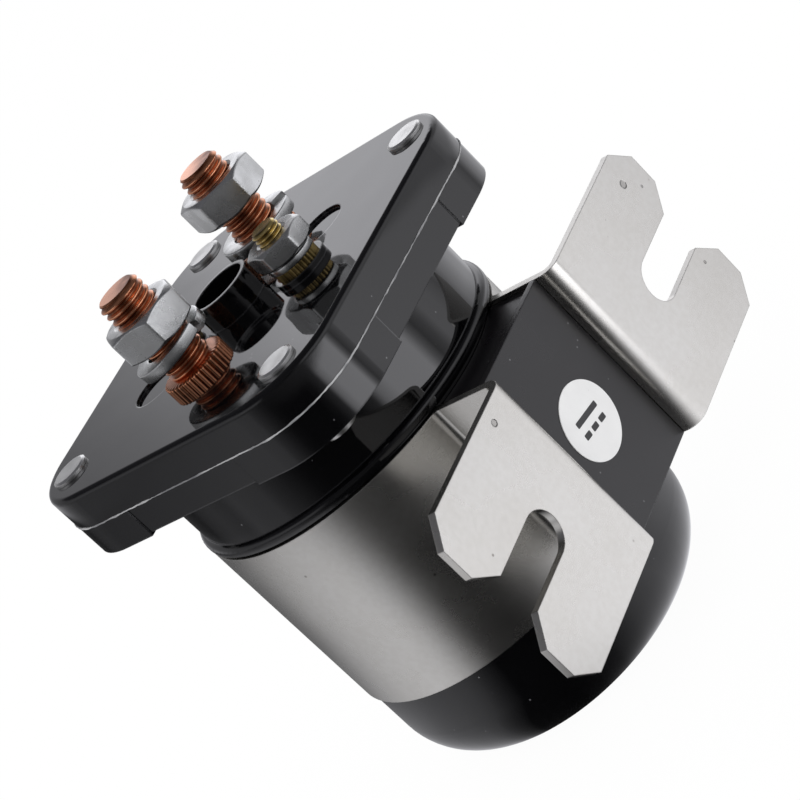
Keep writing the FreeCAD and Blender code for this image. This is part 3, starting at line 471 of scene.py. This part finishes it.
def ring_mesh(name, angles, loop, centre):
    """Closed ring: loop(angle) gives the section as (radius, height) pairs round its outline."""
    shape = bmesh.new()
    columns = []
    for angle in angles:
        column = []
        for radius, height in loop(angle):
            place = Vector((radius * math.cos(angle), radius * math.sin(angle), height))
            column.append(shape.verts.new(centre + place))
        columns.append(column)
    rows = len(columns[0])
    for step, column in enumerate(columns):
        after = columns[(step + 1) % len(columns)]
        for row in range(rows):
            above = (row + 1) % rows
            shape.faces.new((column[row], after[row], after[above], column[above]))
    return mesh_of(shape, name)


def turned_mesh(name, profile, centre, segments=96):
    """Solid turned about a vertical axis; the profile starts and ends on the axis."""
    shape = bmesh.new()
    low = shape.verts.new(centre + Vector((0, 0, profile[0][1])))
    high = shape.verts.new(centre + Vector((0, 0, profile[-1][1])))
    columns = []
    for step in range(segments):
        angle = TAU * step / segments
        out = Vector((math.cos(angle), math.sin(angle), 0))
        columns.append([shape.verts.new(centre + out * r + Vector((0, 0, z))) for r, z in profile[1:-1]])
    for step, column in enumerate(columns):
        after = columns[(step + 1) % segments]
        shape.faces.new((low, after[0], column[0]))
        shape.faces.new((high, column[-1], after[-1]))
        for row in range(len(column) - 1):
            shape.faces.new((column[row], after[row], after[row + 1], column[row + 1]))
    return smooth(mesh_of(shape, name))


def joined_mesh(name, meshes):
    """One mesh from several shells that lie in place."""
    holders = [new_holder(mesh) for mesh in meshes]
    with bpy.context.temp_override(active_object=holders[0], object=holders[0],
                                   selected_editable_objects=holders, selected_objects=holders):
        bpy.ops.object.join()
    mesh = holders[0].data
    mesh.name = name
    bpy.data.objects.remove(holders[0])
    return mesh


# Geometry trees

def wrapped_grid(tree, around, rows, bottom, top):
    """Grid whose X runs round the axis and whose Y runs up it; its end rows close on the axis."""
    made = add(tree, "GeometryNodeMeshGrid", {"Size X": 1.0, "Size Y": 1.0, "Vertices X": around,
                                              "Vertices Y": rows})
    place = add(tree, "ShaderNodeSeparateXYZ", {0: add(tree, "GeometryNodeInputPosition").outputs[0]})
    turn = calc(tree, "ADD", place.outputs[0], 0.5)
    climb = calc(tree, "ADD", place.outputs[1], 0.5)
    step = calc(tree, "DIVIDE", 1.0, calc(tree, "SUBTRACT", rows, 1.0))
    inner = stretch(tree, climb, step, calc(tree, "SUBTRACT", 1.0, step), bottom, top)
    from_end = calc(tree, "MINIMUM", climb, calc(tree, "SUBTRACT", 1.0, climb))
    keep = calc(tree, "GREATER_THAN", from_end, calc(tree, "MULTIPLY", step, 0.5))
    return made.outputs["Mesh"], turn, inner, keep


def close_wrap(tree, out, given, mesh, turn, height, radius, keep, hollow):
    """Wrap the grid to its radius, store how hollow each point lies, raised on a shaded collar by painted
    shade, and finish the tree.
    """
    angle = calc(tree, "MULTIPLY", turn, TAU)
    reach = calc(tree, "MULTIPLY", radius, keep)
    around = add(tree, "ShaderNodeCombineXYZ",
                 {0: calc(tree, "MULTIPLY", reach, calc(tree, "COSINE", angle)),
                  1: calc(tree, "MULTIPLY", reach, calc(tree, "SINE", angle)), 2: height}).outputs[0]
    place = add(tree, "ShaderNodeVectorMath", {0: around, 1: given["Centre"]}, operation="ADD").outputs[0]
    kept = add(tree, "GeometryNodeStoreNamedAttribute",
               {"Geometry": mesh, "Name": "hollow", "Value": hollow}, data_type="FLOAT", domain="POINT")
    moved = add(tree, "GeometryNodeSetPosition", {"Geometry": kept.outputs[0], "Position": place})
    closed = add(tree, "GeometryNodeMergeByDistance", {"Geometry": moved.outputs[0],
                                                       "Distance": 0.001 * MM})
    finish_tree(tree, out, given, closed.outputs[0])


def finish_tree(tree, out, given, geometry):
    real = add(tree, "GeometryNodeRealizeInstances", {0: geometry})
    painted = add(tree, "GeometryNodeSetMaterial", {"Geometry": real.outputs[0],
                                                    "Material": given["Material"]})
    tree.links.new(painted.outputs[0], out["Geometry"])


def make_thread_tree():
    """Screw thread with a rounded crest and root, and a chamfer at its free end."""
    tree, given, out = new_group(
        "Screw thread", "GeometryNodeTree",
        {"Radius": ("Float", 0.004), "Depth": ("Float", 0.0005), "Pitch": ("Float", 0.00125),
         "Bottom": ("Float", 0.0), "Top": ("Float", 0.01), "Chamfer": ("Float", 0.0007),
         "Around": ("Int", 97), "Rows": ("Int", 200), "Centre": ("Vector", None),
         "Material": ("Material", None)}, {"Geometry": "Geometry"})
    mesh, turn, height, keep = wrapped_grid(tree, given["Around"], given["Rows"], given["Bottom"],
                                            given["Top"])
    phase = calc(tree, "FRACT", calc(tree, "SUBTRACT", calc(tree, "DIVIDE", height, given["Pitch"]), turn))
    away = calc(tree, "ABSOLUTE", calc(tree, "MULTIPLY_ADD", phase, 2.0, -1.0))
    hollow = stretch(tree, away, 0.12, 0.88, 0.0, 1.0, smooth=True)
    thread = calc(tree, "SUBTRACT", given["Radius"], calc(tree, "MULTIPLY", hollow, given["Depth"]))
    tip = calc(tree, "ADD", calc(tree, "SUBTRACT", given["Radius"], given["Chamfer"]),
               calc(tree, "SUBTRACT", given["Top"], height))
    close_wrap(tree, out, given, mesh, turn, height, calc(tree, "MINIMUM", thread, tip), keep, hollow)
    return tree


def make_knurl_tree():
    """Collar with upright rounded ridges and a softened top rim; one input raises the stored hollow value
    all over, as painted shade that darkens the whole collar.
    """
    tree, given, out = new_group(
        "Knurled collar", "GeometryNodeTree",
        {"Radius": ("Float", 0.0063), "Depth": ("Float", 0.0004), "Ridges": ("Int", 30),
         "Bottom": ("Float", 0.0), "Top": ("Float", 0.003), "Rim": ("Float", 0.0006),
         "Around": ("Int", 481), "Rows": ("Int", 28), "Painted Shade": ("Float", 0.0), "Centre": ("Vector", None),
         "Material": ("Material", None)}, {"Geometry": "Geometry"})
    mesh, turn, height, keep = wrapped_grid(tree, given["Around"], given["Rows"], given["Bottom"],
                                            given["Top"])
    wave = calc(tree, "ABSOLUTE", calc(tree, "SINE", calc(
        tree, "MULTIPLY", turn, calc(tree, "MULTIPLY", given["Ridges"], math.pi))))
    end = calc(tree, "SUBTRACT", given["Top"], height)
    share = calc(tree, "SUBTRACT", 1.0, calc(tree, "MINIMUM", calc(tree, "DIVIDE", end, given["Rim"]), 1.0))
    bend = calc(tree, "SUBTRACT", 1.0, calc(tree, "SQRT", calc(tree, "MAXIMUM", calc(
        tree, "SUBTRACT", 1.0, calc(tree, "MULTIPLY", share, share)), 0.0)))
    hollow = calc(tree, "SUBTRACT", 1.0, wave)
    cut = calc(tree, "MULTIPLY", hollow, given["Depth"])
    rim = calc(tree, "MULTIPLY", bend, given["Rim"])
    radius = calc(tree, "SUBTRACT", calc(tree, "SUBTRACT", given["Radius"], cut), rim)
    # Painted shade: a floor on the stored value that darkens the whole collar as if it lay in shadow.
    grooves_and_painted_shade = calc(tree, "MAXIMUM", hollow, given["Painted Shade"])
    close_wrap(tree, out, given, mesh, turn, height, radius, keep, grooves_and_painted_shade)
    return tree


def make_washer_tree():
    """Split spring washer: a rounded bar bent almost full circle, one end a little higher."""
    tree, given, out = new_group(
        "Split washer", "GeometryNodeTree",
        {"Mean Radius": ("Float", 0.0055), "Width": ("Float", 0.0026), "Thickness": ("Float", 0.002),
         "Share": ("Float", 0.97), "Rise": ("Float", 0.0003), "Softening": ("Float", 0.0002),
         "Turn": ("Vector", None), "Centre": ("Vector", None), "Material": ("Material", None)},
        {"Geometry": "Geometry"})
    bend = add(tree, "GeometryNodeCurveSpiral",
               {"Resolution": 96, "Rotations": given["Share"], "Start Radius": given["Mean Radius"],
                "End Radius": given["Mean Radius"], "Height": given["Rise"]})
    upright = add(tree, "GeometryNodeSetCurveNormal", {"Curve": bend.outputs[0]}, mode="Z_UP")
    bar = add(tree, "GeometryNodeCurvePrimitiveQuadrilateral",
              {"Width": given["Width"], "Height": given["Thickness"]})
    soft = add(tree, "GeometryNodeFilletCurve",
               {"Curve": bar.outputs[0], "Count": 4, "Radius": given["Softening"]}, mode="POLY")
    swept = add(tree, "GeometryNodeCurveToMesh",
                {"Curve": upright.outputs[0], "Profile Curve": soft.outputs[0], "Fill Caps": True})
    placed = add(tree, "GeometryNodeTransform",
                 {"Geometry": swept.outputs[0], "Rotation": given["Turn"], "Translation": given["Centre"]})
    finish_tree(tree, out, given, placed.outputs[0])
    return tree


def make_spring_tree():
    """Round wire coiled evenly about a vertical axis."""
    tree, given, out = new_group(
        "Coiled spring", "GeometryNodeTree",
        {"Radius": ("Float", 0.0046), "Wire": ("Float", 0.0009), "Turns": ("Float", 4.0),
         "Height": ("Float", 0.012), "Centre": ("Vector", None), "Material": ("Material", None)},
        {"Geometry": "Geometry"})
    steps = add(tree, "ShaderNodeMath", {0: given["Turns"], 1: 48.0}, operation="MULTIPLY").outputs[0]
    whole = add(tree, "FunctionNodeFloatToInt", {0: steps}).outputs[0]
    coil = add(tree, "GeometryNodeCurveSpiral",
               {"Resolution": 48, "Rotations": given["Turns"], "Start Radius": given["Radius"],
                "End Radius": given["Radius"], "Height": given["Height"]})
    even = add(tree, "GeometryNodeResampleCurve", {"Curve": coil.outputs[0], "Count": whole})
    section = add(tree, "GeometryNodeCurvePrimitiveCircle",
                  {"Resolution": 14, "Radius": calc(tree, "MULTIPLY", given["Wire"], 0.5)})
    swept = add(tree, "GeometryNodeCurveToMesh",
                {"Curve": even.outputs[0], "Profile Curve": section.outputs[0], "Fill Caps": True})
    placed = add(tree, "GeometryNodeTransform", {"Geometry": swept.outputs[0],
                                                 "Translation": given["Centre"]})
    finish_tree(tree, out, given, placed.outputs[0])
    return tree


def make_flash_tree():
    """Ragged bead of moulding flash that follows a rounded square."""
    tree, given, out = new_group(
        "Moulding flash", "GeometryNodeTree",
        {"Width": ("Float", 0.068), "Corner": ("Float", 0.014), "Thickness": ("Float", 0.0001),
         "Wander": ("Float", 0.0001), "Points": ("Int", 1400), "Centre": ("Vector", None),
         "Material": ("Material", None)}, {"Geometry": "Geometry"})
    square = add(tree, "GeometryNodeCurvePrimitiveQuadrilateral",
                 {"Width": given["Width"], "Height": given["Width"]})
    rounded = add(tree, "GeometryNodeFilletCurve",
                  {"Curve": square.outputs[0], "Count": 24, "Radius": given["Corner"]}, mode="POLY")
    even = add(tree, "GeometryNodeResampleCurve", {"Curve": rounded.outputs[0], "Count": given["Points"]})
    place = add(tree, "GeometryNodeInputPosition").outputs[0]
    drift = add(tree, "ShaderNodeTexNoise", {"Vector": place, "Scale": 900.0, "Detail": 3.0})
    offset = add(tree, "ShaderNodeVectorMath", {0: drift.outputs[1], 1: (0.5, 0.5, 0.5)},
                 operation="SUBTRACT")
    offset = add(tree, "ShaderNodeVectorMath", {0: offset.outputs[0], "Scale": given["Wander"]},
                 operation="SCALE")
    ragged = add(tree, "GeometryNodeSetPosition",
                 {"Geometry": even.outputs[0], "Offset": offset.outputs[0]})
    patch = add(tree, "ShaderNodeTexNoise", {"Vector": place, "Scale": 260.0, "Detail": 4.0}).outputs[0]
    bulk = stretch(tree, patch, 0.35, 0.7, 0.35, 1.5)
    varied = add(tree, "GeometryNodeSetCurveRadius", {"Curve": ragged.outputs[0], "Radius": bulk})
    section = add(tree, "GeometryNodeCurvePrimitiveCircle", {"Resolution": 6,
                                                             "Radius": given["Thickness"]})
    bead = add(tree, "GeometryNodeCurveToMesh",
               {"Curve": varied.outputs[0], "Profile Curve": section.outputs[0], "Scale": bulk})
    placed = add(tree, "GeometryNodeTransform", {"Geometry": bead.outputs[0],
                                                 "Translation": given["Centre"]})
    finish_tree(tree, out, given, placed.outputs[0])
    return tree


thread_tree = make_thread_tree()
knurl_tree = make_knurl_tree()
washer_tree = make_washer_tree()
flash_tree = make_flash_tree()
spring_tree = make_spring_tree()


# Studs, nuts and washers

FLANGE_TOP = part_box("coil_housing")[1].z
COVER_THICK = 6.2 * MM
COVER_FACE = FLANGE_TOP + COVER_THICK
MAIN_STUD = {"thread": 3.97 * MM, "pitch": 1.25 * MM, "depth": 0.55 * MM, "collar": 5.8 * MM,
             "collar_low": COVER_FACE, "collar_high": COVER_FACE + 1.7 * MM, "ridges": 36,
             "ridge_depth": 0.4 * MM, "rim": 0.3 * MM, "oxide_and_painted_shade": 0.0, "head": 6.6 * MM,
             "head_thick": 3.4 * MM, "tail": 0.0, "chamfer": 0.75 * MM}
# The coil studs' collars carry 0.95 of painted shade all over: the shadow under their washers painted into
# the colour.
COIL_STUD = {"thread": 2.4 * MM, "pitch": 0.8 * MM, "depth": 0.35 * MM, "collar": 3.9 * MM,
             "collar_low": COVER_FACE + 1.1 * MM, "collar_high": COVER_FACE + 2.5 * MM, "ridges": 30,
             "ridge_depth": 0.25 * MM, "rim": 0.2 * MM, "oxide_and_painted_shade": 0.95, "head": 4.2 * MM,
             "head_thick": 2.0 * MM, "tail": 1.4 * MM, "chamfer": 0.5 * MM}
THREAD_AROUND = 97
THREAD_ROWS = 14  # per pitch
STEPS_PER_RIDGE = 12
COLLAR_ROWS = 24
THREAD_OVERLAP = 0.3 * MM  # how far the thread starts inside its collar
SHANK_OVERLAP = 0.2 * MM  # how far the hidden shank ends inside the collar


def middle_of(node):
    low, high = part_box(node)
    return (low + high) / 2


def stud_piece(node, sizes, slot):
    """Threaded stud with its knurled collar, and the head that the cover hides."""
    low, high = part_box(node)
    centre = middle_of(node)
    centre.z = 0
    material = FINISHES[slot]
    thread_rows = int((high.z - sizes["collar_high"]) / sizes["pitch"] * THREAD_ROWS)
    thread = grown_mesh("thread", thread_tree, {
        "Radius": sizes["thread"], "Depth": sizes["depth"], "Pitch": sizes["pitch"],
        "Bottom": sizes["collar_high"] - THREAD_OVERLAP, "Top": high.z, "Chamfer": sizes["chamfer"],
        "Around": THREAD_AROUND, "Rows": thread_rows, "Centre": centre, "Material": material})
    collar = grown_mesh("collar", knurl_tree, {
        "Radius": sizes["collar"], "Depth": sizes["ridge_depth"], "Ridges": sizes["ridges"],
        "Bottom": sizes["collar_low"], "Top": sizes["collar_high"], "Rim": sizes["rim"],
        "Around": STEPS_PER_RIDGE * sizes["ridges"] + 1, "Rows": COLLAR_ROWS, "Painted Shade": sizes["oxide_and_painted_shade"],
        "Centre": centre, "Material": material})
    head_low = FLANGE_TOP - sizes["head_thick"]
    tail = [(0, low.z)]
    if sizes["tail"]:
        tail += [(sizes["tail"], low.z), (sizes["tail"], head_low)]
    shank_top = sizes["collar_low"] + SHANK_OVERLAP
    hidden = turned_mesh("hidden_head", tail + [
        (sizes["head"], head_low), (sizes["head"], FLANGE_TOP), (sizes["thread"], FLANGE_TOP),
        (sizes["thread"], shank_top), (0, shank_top)], centre)
    piece = new_piece(f"{node}_turned", joined_mesh(node, [thread, collar, hidden]), ROOT_BODY, slot)
    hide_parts(node)


MAIN_NUT = {"flats": 12.7 * MM, "bore": 4.03 * MM}
COIL_NUT = {"flats": 9.53 * MM, "bore": 2.46 * MM}
NUT_FACE = 0.475  # radius of a nut's flat end face, as a share of its width across flats
NUT_SOFTENING = 0.13 * MM
NUT_CORNER_TRIM = 0.12 * MM
NUT_SINK = 0.45 * MM
NUT_SLOPE = math.radians(30)
NUT_STEPS = (-30, -28.9, -26, -22, -17, -11, -5, 0, 5, 11, 17, 22, 26, 28.9)  # degrees off a flat's middle


def hexagon_nut(node, turn, flats, bore):
    """Hexagon nut with chamfered corners, softened edges and a countersunk bore."""
    low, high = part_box(node)
    centre = middle_of(node)
    centre.z = low.z
    thick = high.z - low.z
    face = NUT_FACE * flats
    corner = flats / 2 / math.cos(math.radians(30)) - NUT_CORNER_TRIM

    def loop(angle):
        off_flat = (math.degrees(angle) - turn) % 60 - 30
        side = min(flats / 2 / math.cos(math.radians(off_flat)), corner)
        meet = (side - face) * math.tan(NUT_SLOPE)
        across, up = NUT_SOFTENING * math.cos(NUT_SLOPE), NUT_SOFTENING * math.sin(NUT_SLOPE)
        lower = [(face - NUT_SOFTENING, 0), (face + across, up), (side - across, meet - up),
                 (side, meet + NUT_SOFTENING)]
        upper = [(radius, thick - height) for radius, height in reversed(lower)]
        return ([(bore + NUT_SINK, 0)] + lower + upper
                + [(bore + NUT_SINK, thick), (bore, thick - NUT_SINK), (bore, NUT_SINK)])

    angles = [math.radians(turn + 60 * sector + 30 + off) for sector in range(6) for off in NUT_STEPS]
    mesh = weighted(ring_mesh(node, angles, loop, centre))
    piece = new_piece(f"{node}_finished", mesh, node, "plated_fastener")
    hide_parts(node)


MAIN_WASHER = {"inner": 4.23 * MM, "outer": 6.9 * MM, "thick": 2.0 * MM}
COIL_WASHER = {"inner": 2.53 * MM, "outer": 4.2 * MM, "thick": 1.15 * MM}
WASHER_GAP = 1.0 * MM
WASHER_SOFTENING = 0.22 * MM


def split_washer(node, split_at, inner, outer, thick, climb=0.3, lean=(0.0, 0.0)):
    """Lock washer in the place and lean of its plain ring; climb is its ends' offset by thickness."""
    centre = middle_of(node)
    mean = (inner + outer) / 2
    rise = climb * thick
    leaning = Euler((math.radians(lean[0]), math.radians(lean[1]), 0)).to_matrix()
    turn = leaning @ Matrix.Rotation(math.radians(split_at), 3, "Z")
    mesh = grown_mesh(node, washer_tree, {
        "Mean Radius": mean, "Width": outer - inner, "Thickness": thick,
        "Share": 1 - WASHER_GAP / (TAU * mean), "Rise": rise, "Softening": WASHER_SOFTENING,
        "Turn": tuple(turn.to_euler()), "Centre": centre - Vector((0, 0, rise / 2)),
        "Material": FINISHES["plated_fastener"]})
    piece = new_piece(f"{node}_split", mesh, ROOT_BODY, "plated_fastener")
    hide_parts(node)


for side in ("right", "left"):
    stud_piece(f"main_stud_{side}", MAIN_STUD, "stud_copper")
for side in ("front", "back"):
    stud_piece(f"coil_stud_{side}", COIL_STUD, "stud_brass")

for node, turn, sizes in (("main_nut_right", 10.0, MAIN_NUT), ("main_nut_left", 47.2, MAIN_NUT),
                          ("coil_nut_front", 7.3, COIL_NUT), ("coil_nut_back", 7.3, COIL_NUT)):
    hexagon_nut(node, turn, **sizes)

split_washer("main_lock_washer_right", -50, **MAIN_WASHER)
split_washer("main_lock_washer_left", -90, **MAIN_WASHER, climb=-0.3, lean=(-4.2, -4.2))
split_washer("coil_lock_washer_front", 300, **COIL_WASHER)
split_washer("coil_lock_washer_back", 120, **COIL_WASHER)


def wire_spring(node, wire, turns, body):
    """Coiled spring of round wire that rides on the given body."""
    low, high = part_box(node)
    mesh = grown_mesh(node, spring_tree, {
        "Radius": (high.x - low.x - wire) / 2, "Wire": wire, "Turns": turns,
        "Height": high.z - low.z - wire, "Centre": Vector((0, 0, low.z + wire / 2)),
        "Material": FINISHES["spring_steel"]})
    piece = new_piece(f"{node}_wire", mesh, body, "spring_steel")
    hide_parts(node)
    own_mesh(piece)


wire_spring("return_spring", 0.9 * MM, 4.0, ROOT_BODY)
wire_spring("contact_spring", 1.0 * MM, 2.5, "armature")


# Moulding flash along the joint of cover and flange

FLANGE_WIDTH = 68.4 * MM
FLANGE_CORNER = 14.0 * MM
FLASH_STANDS_OUT = 0.03 * MM
flash = grown_mesh("flash", flash_tree, {
    "Width": FLANGE_WIDTH + 2 * FLASH_STANDS_OUT, "Corner": FLANGE_CORNER, "Thickness": 0.14 * MM,
    "Wander": 0.2 * MM, "Points": 1500, "Centre": Vector((0, 0, FLANGE_TOP)), "Material": flash_skin})
new_piece("seam_flash", flash, ROOT_BODY, "black_moulding", flash_skin)


# Printed symbol for direct current on the label: one bar over three dashes

BAR_LENGTH = 6.6 * MM
DASH_LENGTH = 1.7 * MM
DASH_STEP = 2.45 * MM
LINE_OFFSET = 1.15 * MM  # of the bar above and the dashes below the label's middle
LINE_HALF = 0.5 * MM
LINE_CORNER = 0.2 * MM
SYMBOL_TURN = math.radians(-10)
INK_FRONT = 0.02 * MM
INK_BACK = 0.01 * MM


def line_outline(across, up, length):
    """Rounded outline of one printed line, turned about the label's middle."""
    outline = []
    for corner_x, corner_z, start in ((1, -1, 270), (1, 1, 0), (-1, 1, 90), (-1, -1, 180)):
        for step in range(5):
            angle = math.radians(start + 22.5 * step)
            x = across + corner_x * (length / 2 - LINE_CORNER) + LINE_CORNER * math.cos(angle)
            z = up + corner_z * (LINE_HALF - LINE_CORNER) + LINE_CORNER * math.sin(angle)
            outline.append((x * math.cos(SYMBOL_TURN) - z * math.sin(SYMBOL_TURN),
                            x * math.sin(SYMBOL_TURN) + z * math.cos(SYMBOL_TURN)))
    return outline


def printed_bars():
    label_low, label_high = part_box("round_label")
    middle = (label_low + label_high) / 2
    face = label_low.y
    shape = bmesh.new()
    lines = [(0.0, LINE_OFFSET, BAR_LENGTH)]
    for step in (-1, 0, 1):
        lines.append((DASH_STEP * step, -LINE_OFFSET, DASH_LENGTH))
    for across, up, length in lines:
        front = [shape.verts.new((middle.x + x, face - INK_FRONT, middle.z + z))
                 for x, z in line_outline(across, up, length)]
        back = [shape.verts.new((vertex.co.x, face + INK_BACK, vertex.co.z)) for vertex in front]
        shape.faces.new(front)
        shape.faces.new(list(reversed(back)))
        for step in range(len(front)):
            after = (step + 1) % len(front)
            shape.faces.new((front[after], front[step], back[step], back[after]))
    bmesh.ops.recalc_face_normals(shape, faces=shape.faces)
    return mesh_of(shape, "label_symbol")


new_piece("label_symbol", printed_bars(), ROOT_BODY, "white_label", ink)


# Camera: the photograph's place, aim, roll and lens

CAMERA_PLACE = Vector((-0.26349, -0.29596, 0.19020))
CAMERA_AIM = Vector((0.005229, -0.004827, 0.051481))
CAMERA_ROLL = math.radians(-45.752)
CAMERA_LENS = 117.98


def make_camera():
    data = bpy.data.cameras.new("Camera")
    data.sensor_width = 36.0
    data.lens = CAMERA_LENS
    camera = bpy.data.objects.new("Camera", data)
    scene.collection.objects.link(camera)
    facing = (CAMERA_AIM - CAMERA_PLACE).to_track_quat("-Z", "Y").to_matrix().to_4x4()
    camera.matrix_world = Matrix.Translation(CAMERA_PLACE) @ facing @ Matrix.Rotation(CAMERA_ROLL, 4, "Z")
    scene.camera = camera


# Studio: surroundings as reflections see them, by compass angle round the object

# Each stop is an angle in degrees from +X towards +Y, and the brightness seen there.
NEAR_LIGHTS = [(0, 0.5), (20, 0.4), (60, 0.12), (75, 0.11), (86, 0.15), (97, 0.19), (108, 0.3),
               (120, 0.45), (131, 0.56), (145, 0.63), (158, 0.69), (168, 0.63), (174, 0.5),
               (179, 0.3), (184, 0.15), (190, 0.02), (212, 0.01), (222, 0.03), (233, 0.12),
               (243, 0.4), (255, 0.8), (270, 1.1), (300, 1.1), (312, 1.0), (332, 0.65), (345, 0.45)]
FAR_LIGHTS = [(0, 1.0), (10, 0.75), (20, 0.8), (30, 0.5), (50, 0.15), (70, 0.05), (95, 0.05),
              (105, 0.13), (117, 0.23), (130, 0.27), (138, 0.45), (158, 0.48), (164, 0.33),
              (176, 0.15), (185, 0.05), (195, 0.02), (225, 0.02), (233, 0.07), (243, 0.3),
              (248, 2.0), (256, 3.0), (280, 3.0), (286, 1.2), (291, 0.5), (297, 0.7), (304, 1.25),
              (315, 1.05), (328, 0.55), (341, 1.1), (350, 1.1)]
TOP_LIGHTS = [(0, 0.6), (45, 0.5), (92, 0.5), (120, 0.35), (166, 0.2), (190, 0.1), (212, 0.12),
              (235, 0.2), (260, 0.35), (286, 0.45), (310, 0.7), (332, 0.9), (350, 0.7)]
HIGH_LIGHTS = [(0, 0.5), (30, 1.28), (47, 1.28), (50, 0.7), (53, 0.38), (70, 0.3), (110, 0.35),
               (150, 0.7), (172, 0.6), (182, 0.1), (225, 0.06), (240, 0.2), (252, 0.9), (290, 1.0),
               (320, 0.8), (340, 0.5)]
NEAR_REACH = 165 * MM
FAR_REACH = 200 * MM
TOP_START = 288 * MM
TOP_REACH = 305 * MM
LIGHT_TINT = (0.985, 0.985, 1.03)
BACKDROP_SHARE = 0.97
FLOOR_HALF = 6.0
# Sines of the elevation where the studio's bright walls end and its dim ceiling starts.
WALL_TOP = 0.38
CEILING_START = 0.5
CEILING = (0.09, 0.09, 0.1, 1)


def make_surroundings(name, stops):
    """Colour of the studio in a compass direction."""
    tree, given, out = new_group(name, "ShaderNodeTree", {"Direction": ("Vector", None)},
                                 {"Color": "Color"})
    flat = add(tree, "ShaderNodeVectorMath", {0: given["Direction"], 1: (1.0, 1.0, 0.0)},
               operation="MULTIPLY")
    compass = add(tree, "ShaderNodeTexGradient", {0: flat.outputs[0]}, gradient_type="RADIAL")
    ramp = add(tree, "ShaderNodeValToRGB", {0: compass.outputs["Fac"]})
    brightest = max(level for angle, level in stops)
    stops = sorted(((angle / 360 + 0.5) % 1, level / brightest) for angle, level in stops)
    first, last = stops[0], stops[-1]
    wrap = first[1] + (last[1] - first[1]) * first[0] / (first[0] + 1 - last[0])
    stops = [(0.0, wrap)] + stops + [(1.0, wrap)]
    band = ramp.color_ramp.elements
    while len(band) < len(stops):
        band.new(0.5)
    for element, (position, level) in zip(band, stops):
        element.position = position
        element.color = (level * LIGHT_TINT[0], level * LIGHT_TINT[1], level * LIGHT_TINT[2], 1)
    bright = add(tree, "ShaderNodeVectorMath", {0: ramp.outputs["Color"], "Scale": brightest},
                 operation="SCALE")
    tree.links.new(bright.outputs[0], out["Color"])
    return tree


def lights_by_compass(tree, name, stops, direction):
    return effect(tree, make_surroundings(name, stops), {"Direction": direction})["Color"]


def make_world():
    """White to the camera and to diffuse light, and bright walls under a dim ceiling to reflections."""
    world = bpy.data.worlds.new("Studio")
    world.use_nodes = True
    scene.world = world
    tree = world.node_tree
    tree.nodes.clear()
    direction = add(tree, "ShaderNodeTexCoord").outputs["Generated"]
    walls = lights_by_compass(tree, "High surroundings", HIGH_LIGHTS, direction)
    climb = add(tree, "ShaderNodeSeparateXYZ", {0: direction}).outputs[2]
    seen = mix_colours(tree, stretch(tree, climb, WALL_TOP, CEILING_START, 0.0, 1.0, smooth=True), walls,
                       CEILING)
    glossy = add(tree, "ShaderNodeLightPath").outputs["Is Glossy Ray"]
    colour = mix_colours(tree, glossy, (1.0, 1.0, 1.0, 1), seen)
    sky = add(tree, "ShaderNodeBackground", {"Color": colour, "Strength": 1.0})
    output = add(tree, "ShaderNodeOutputWorld")
    tree.links.new(sky.outputs[0], output.inputs[0])


def make_floor():
    """Pale floor that shows white to the camera and the studio's brightness to reflections."""
    shape = bmesh.new()
    bmesh.ops.create_grid(shape, x_segments=2, y_segments=2, size=FLOOR_HALF)
    mesh = mesh_of(shape, "floor")
    floor = bpy.data.objects.new("floor", mesh)
    floor.location.z = cad_box[0][2]
    scene.collection.objects.link(floor)
    made, tree, shader, where = new_material("Pale studio floor")
    set_inputs(tree, shader, {"Base Color": (0.93, 0.93, 0.93, 1), "Roughness": 0.9,
                              "Specular IOR Level": 0.0})
    near = lights_by_compass(tree, "Near surroundings", NEAR_LIGHTS, where)
    far = lights_by_compass(tree, "Far surroundings", FAR_LIGHTS, where)
    top = lights_by_compass(tree, "Top surroundings", TOP_LIGHTS, where)
    reach = add(tree, "ShaderNodeVectorMath", {0: where}, operation="LENGTH").outputs["Value"]
    seen = mix_colours(tree, stretch(tree, reach, NEAR_REACH, FAR_REACH, 0.0, 1.0, smooth=True), near, far)
    seen = mix_colours(tree, stretch(tree, reach, TOP_START, TOP_REACH, 0.0, 1.0, smooth=True), seen, top)
    glow = add(tree, "ShaderNodeEmission", {"Color": seen}).outputs[0]
    backdrop = add(tree, "ShaderNodeEmission", {"Color": (1.0, 1.0, 1.0, 1)}).outputs[0]
    rays = add(tree, "ShaderNodeLightPath").outputs
    lit = calc(tree, "MULTIPLY", rays["Is Camera Ray"], BACKDROP_SHARE)
    pale = add(tree, "ShaderNodeMixShader", {0: lit, 1: shader.outputs[0], 2: backdrop}).outputs[0]
    choice = add(tree, "ShaderNodeMixShader", {0: rays["Is Glossy Ray"], 1: pale, 2: glow})
    tree.links.new(choice.outputs[0], tree.nodes["Material Output"].inputs["Surface"])
    mesh.materials.append(made)


def area_light(name, place, aim, size, power):
    data = bpy.data.lights.new(name, "AREA")
    data.shape = "RECTANGLE"
    data.size, data.size_y = size
    data.energy = power
    light = bpy.data.objects.new(name, data)
    light.location = place
    light.rotation_euler = (Vector(aim) - Vector(place)).to_track_quat("-Z", "Y").to_euler()
    light.visible_glossy = False
    scene.collection.objects.link(light)


make_camera()
make_world()
make_floor()
area_light("Key", (-0.9, -0.6, 1.1), (0, 0, 0.05), (0.5, 0.5), 5.0)
scene.view_settings.view_transform = "Standard"
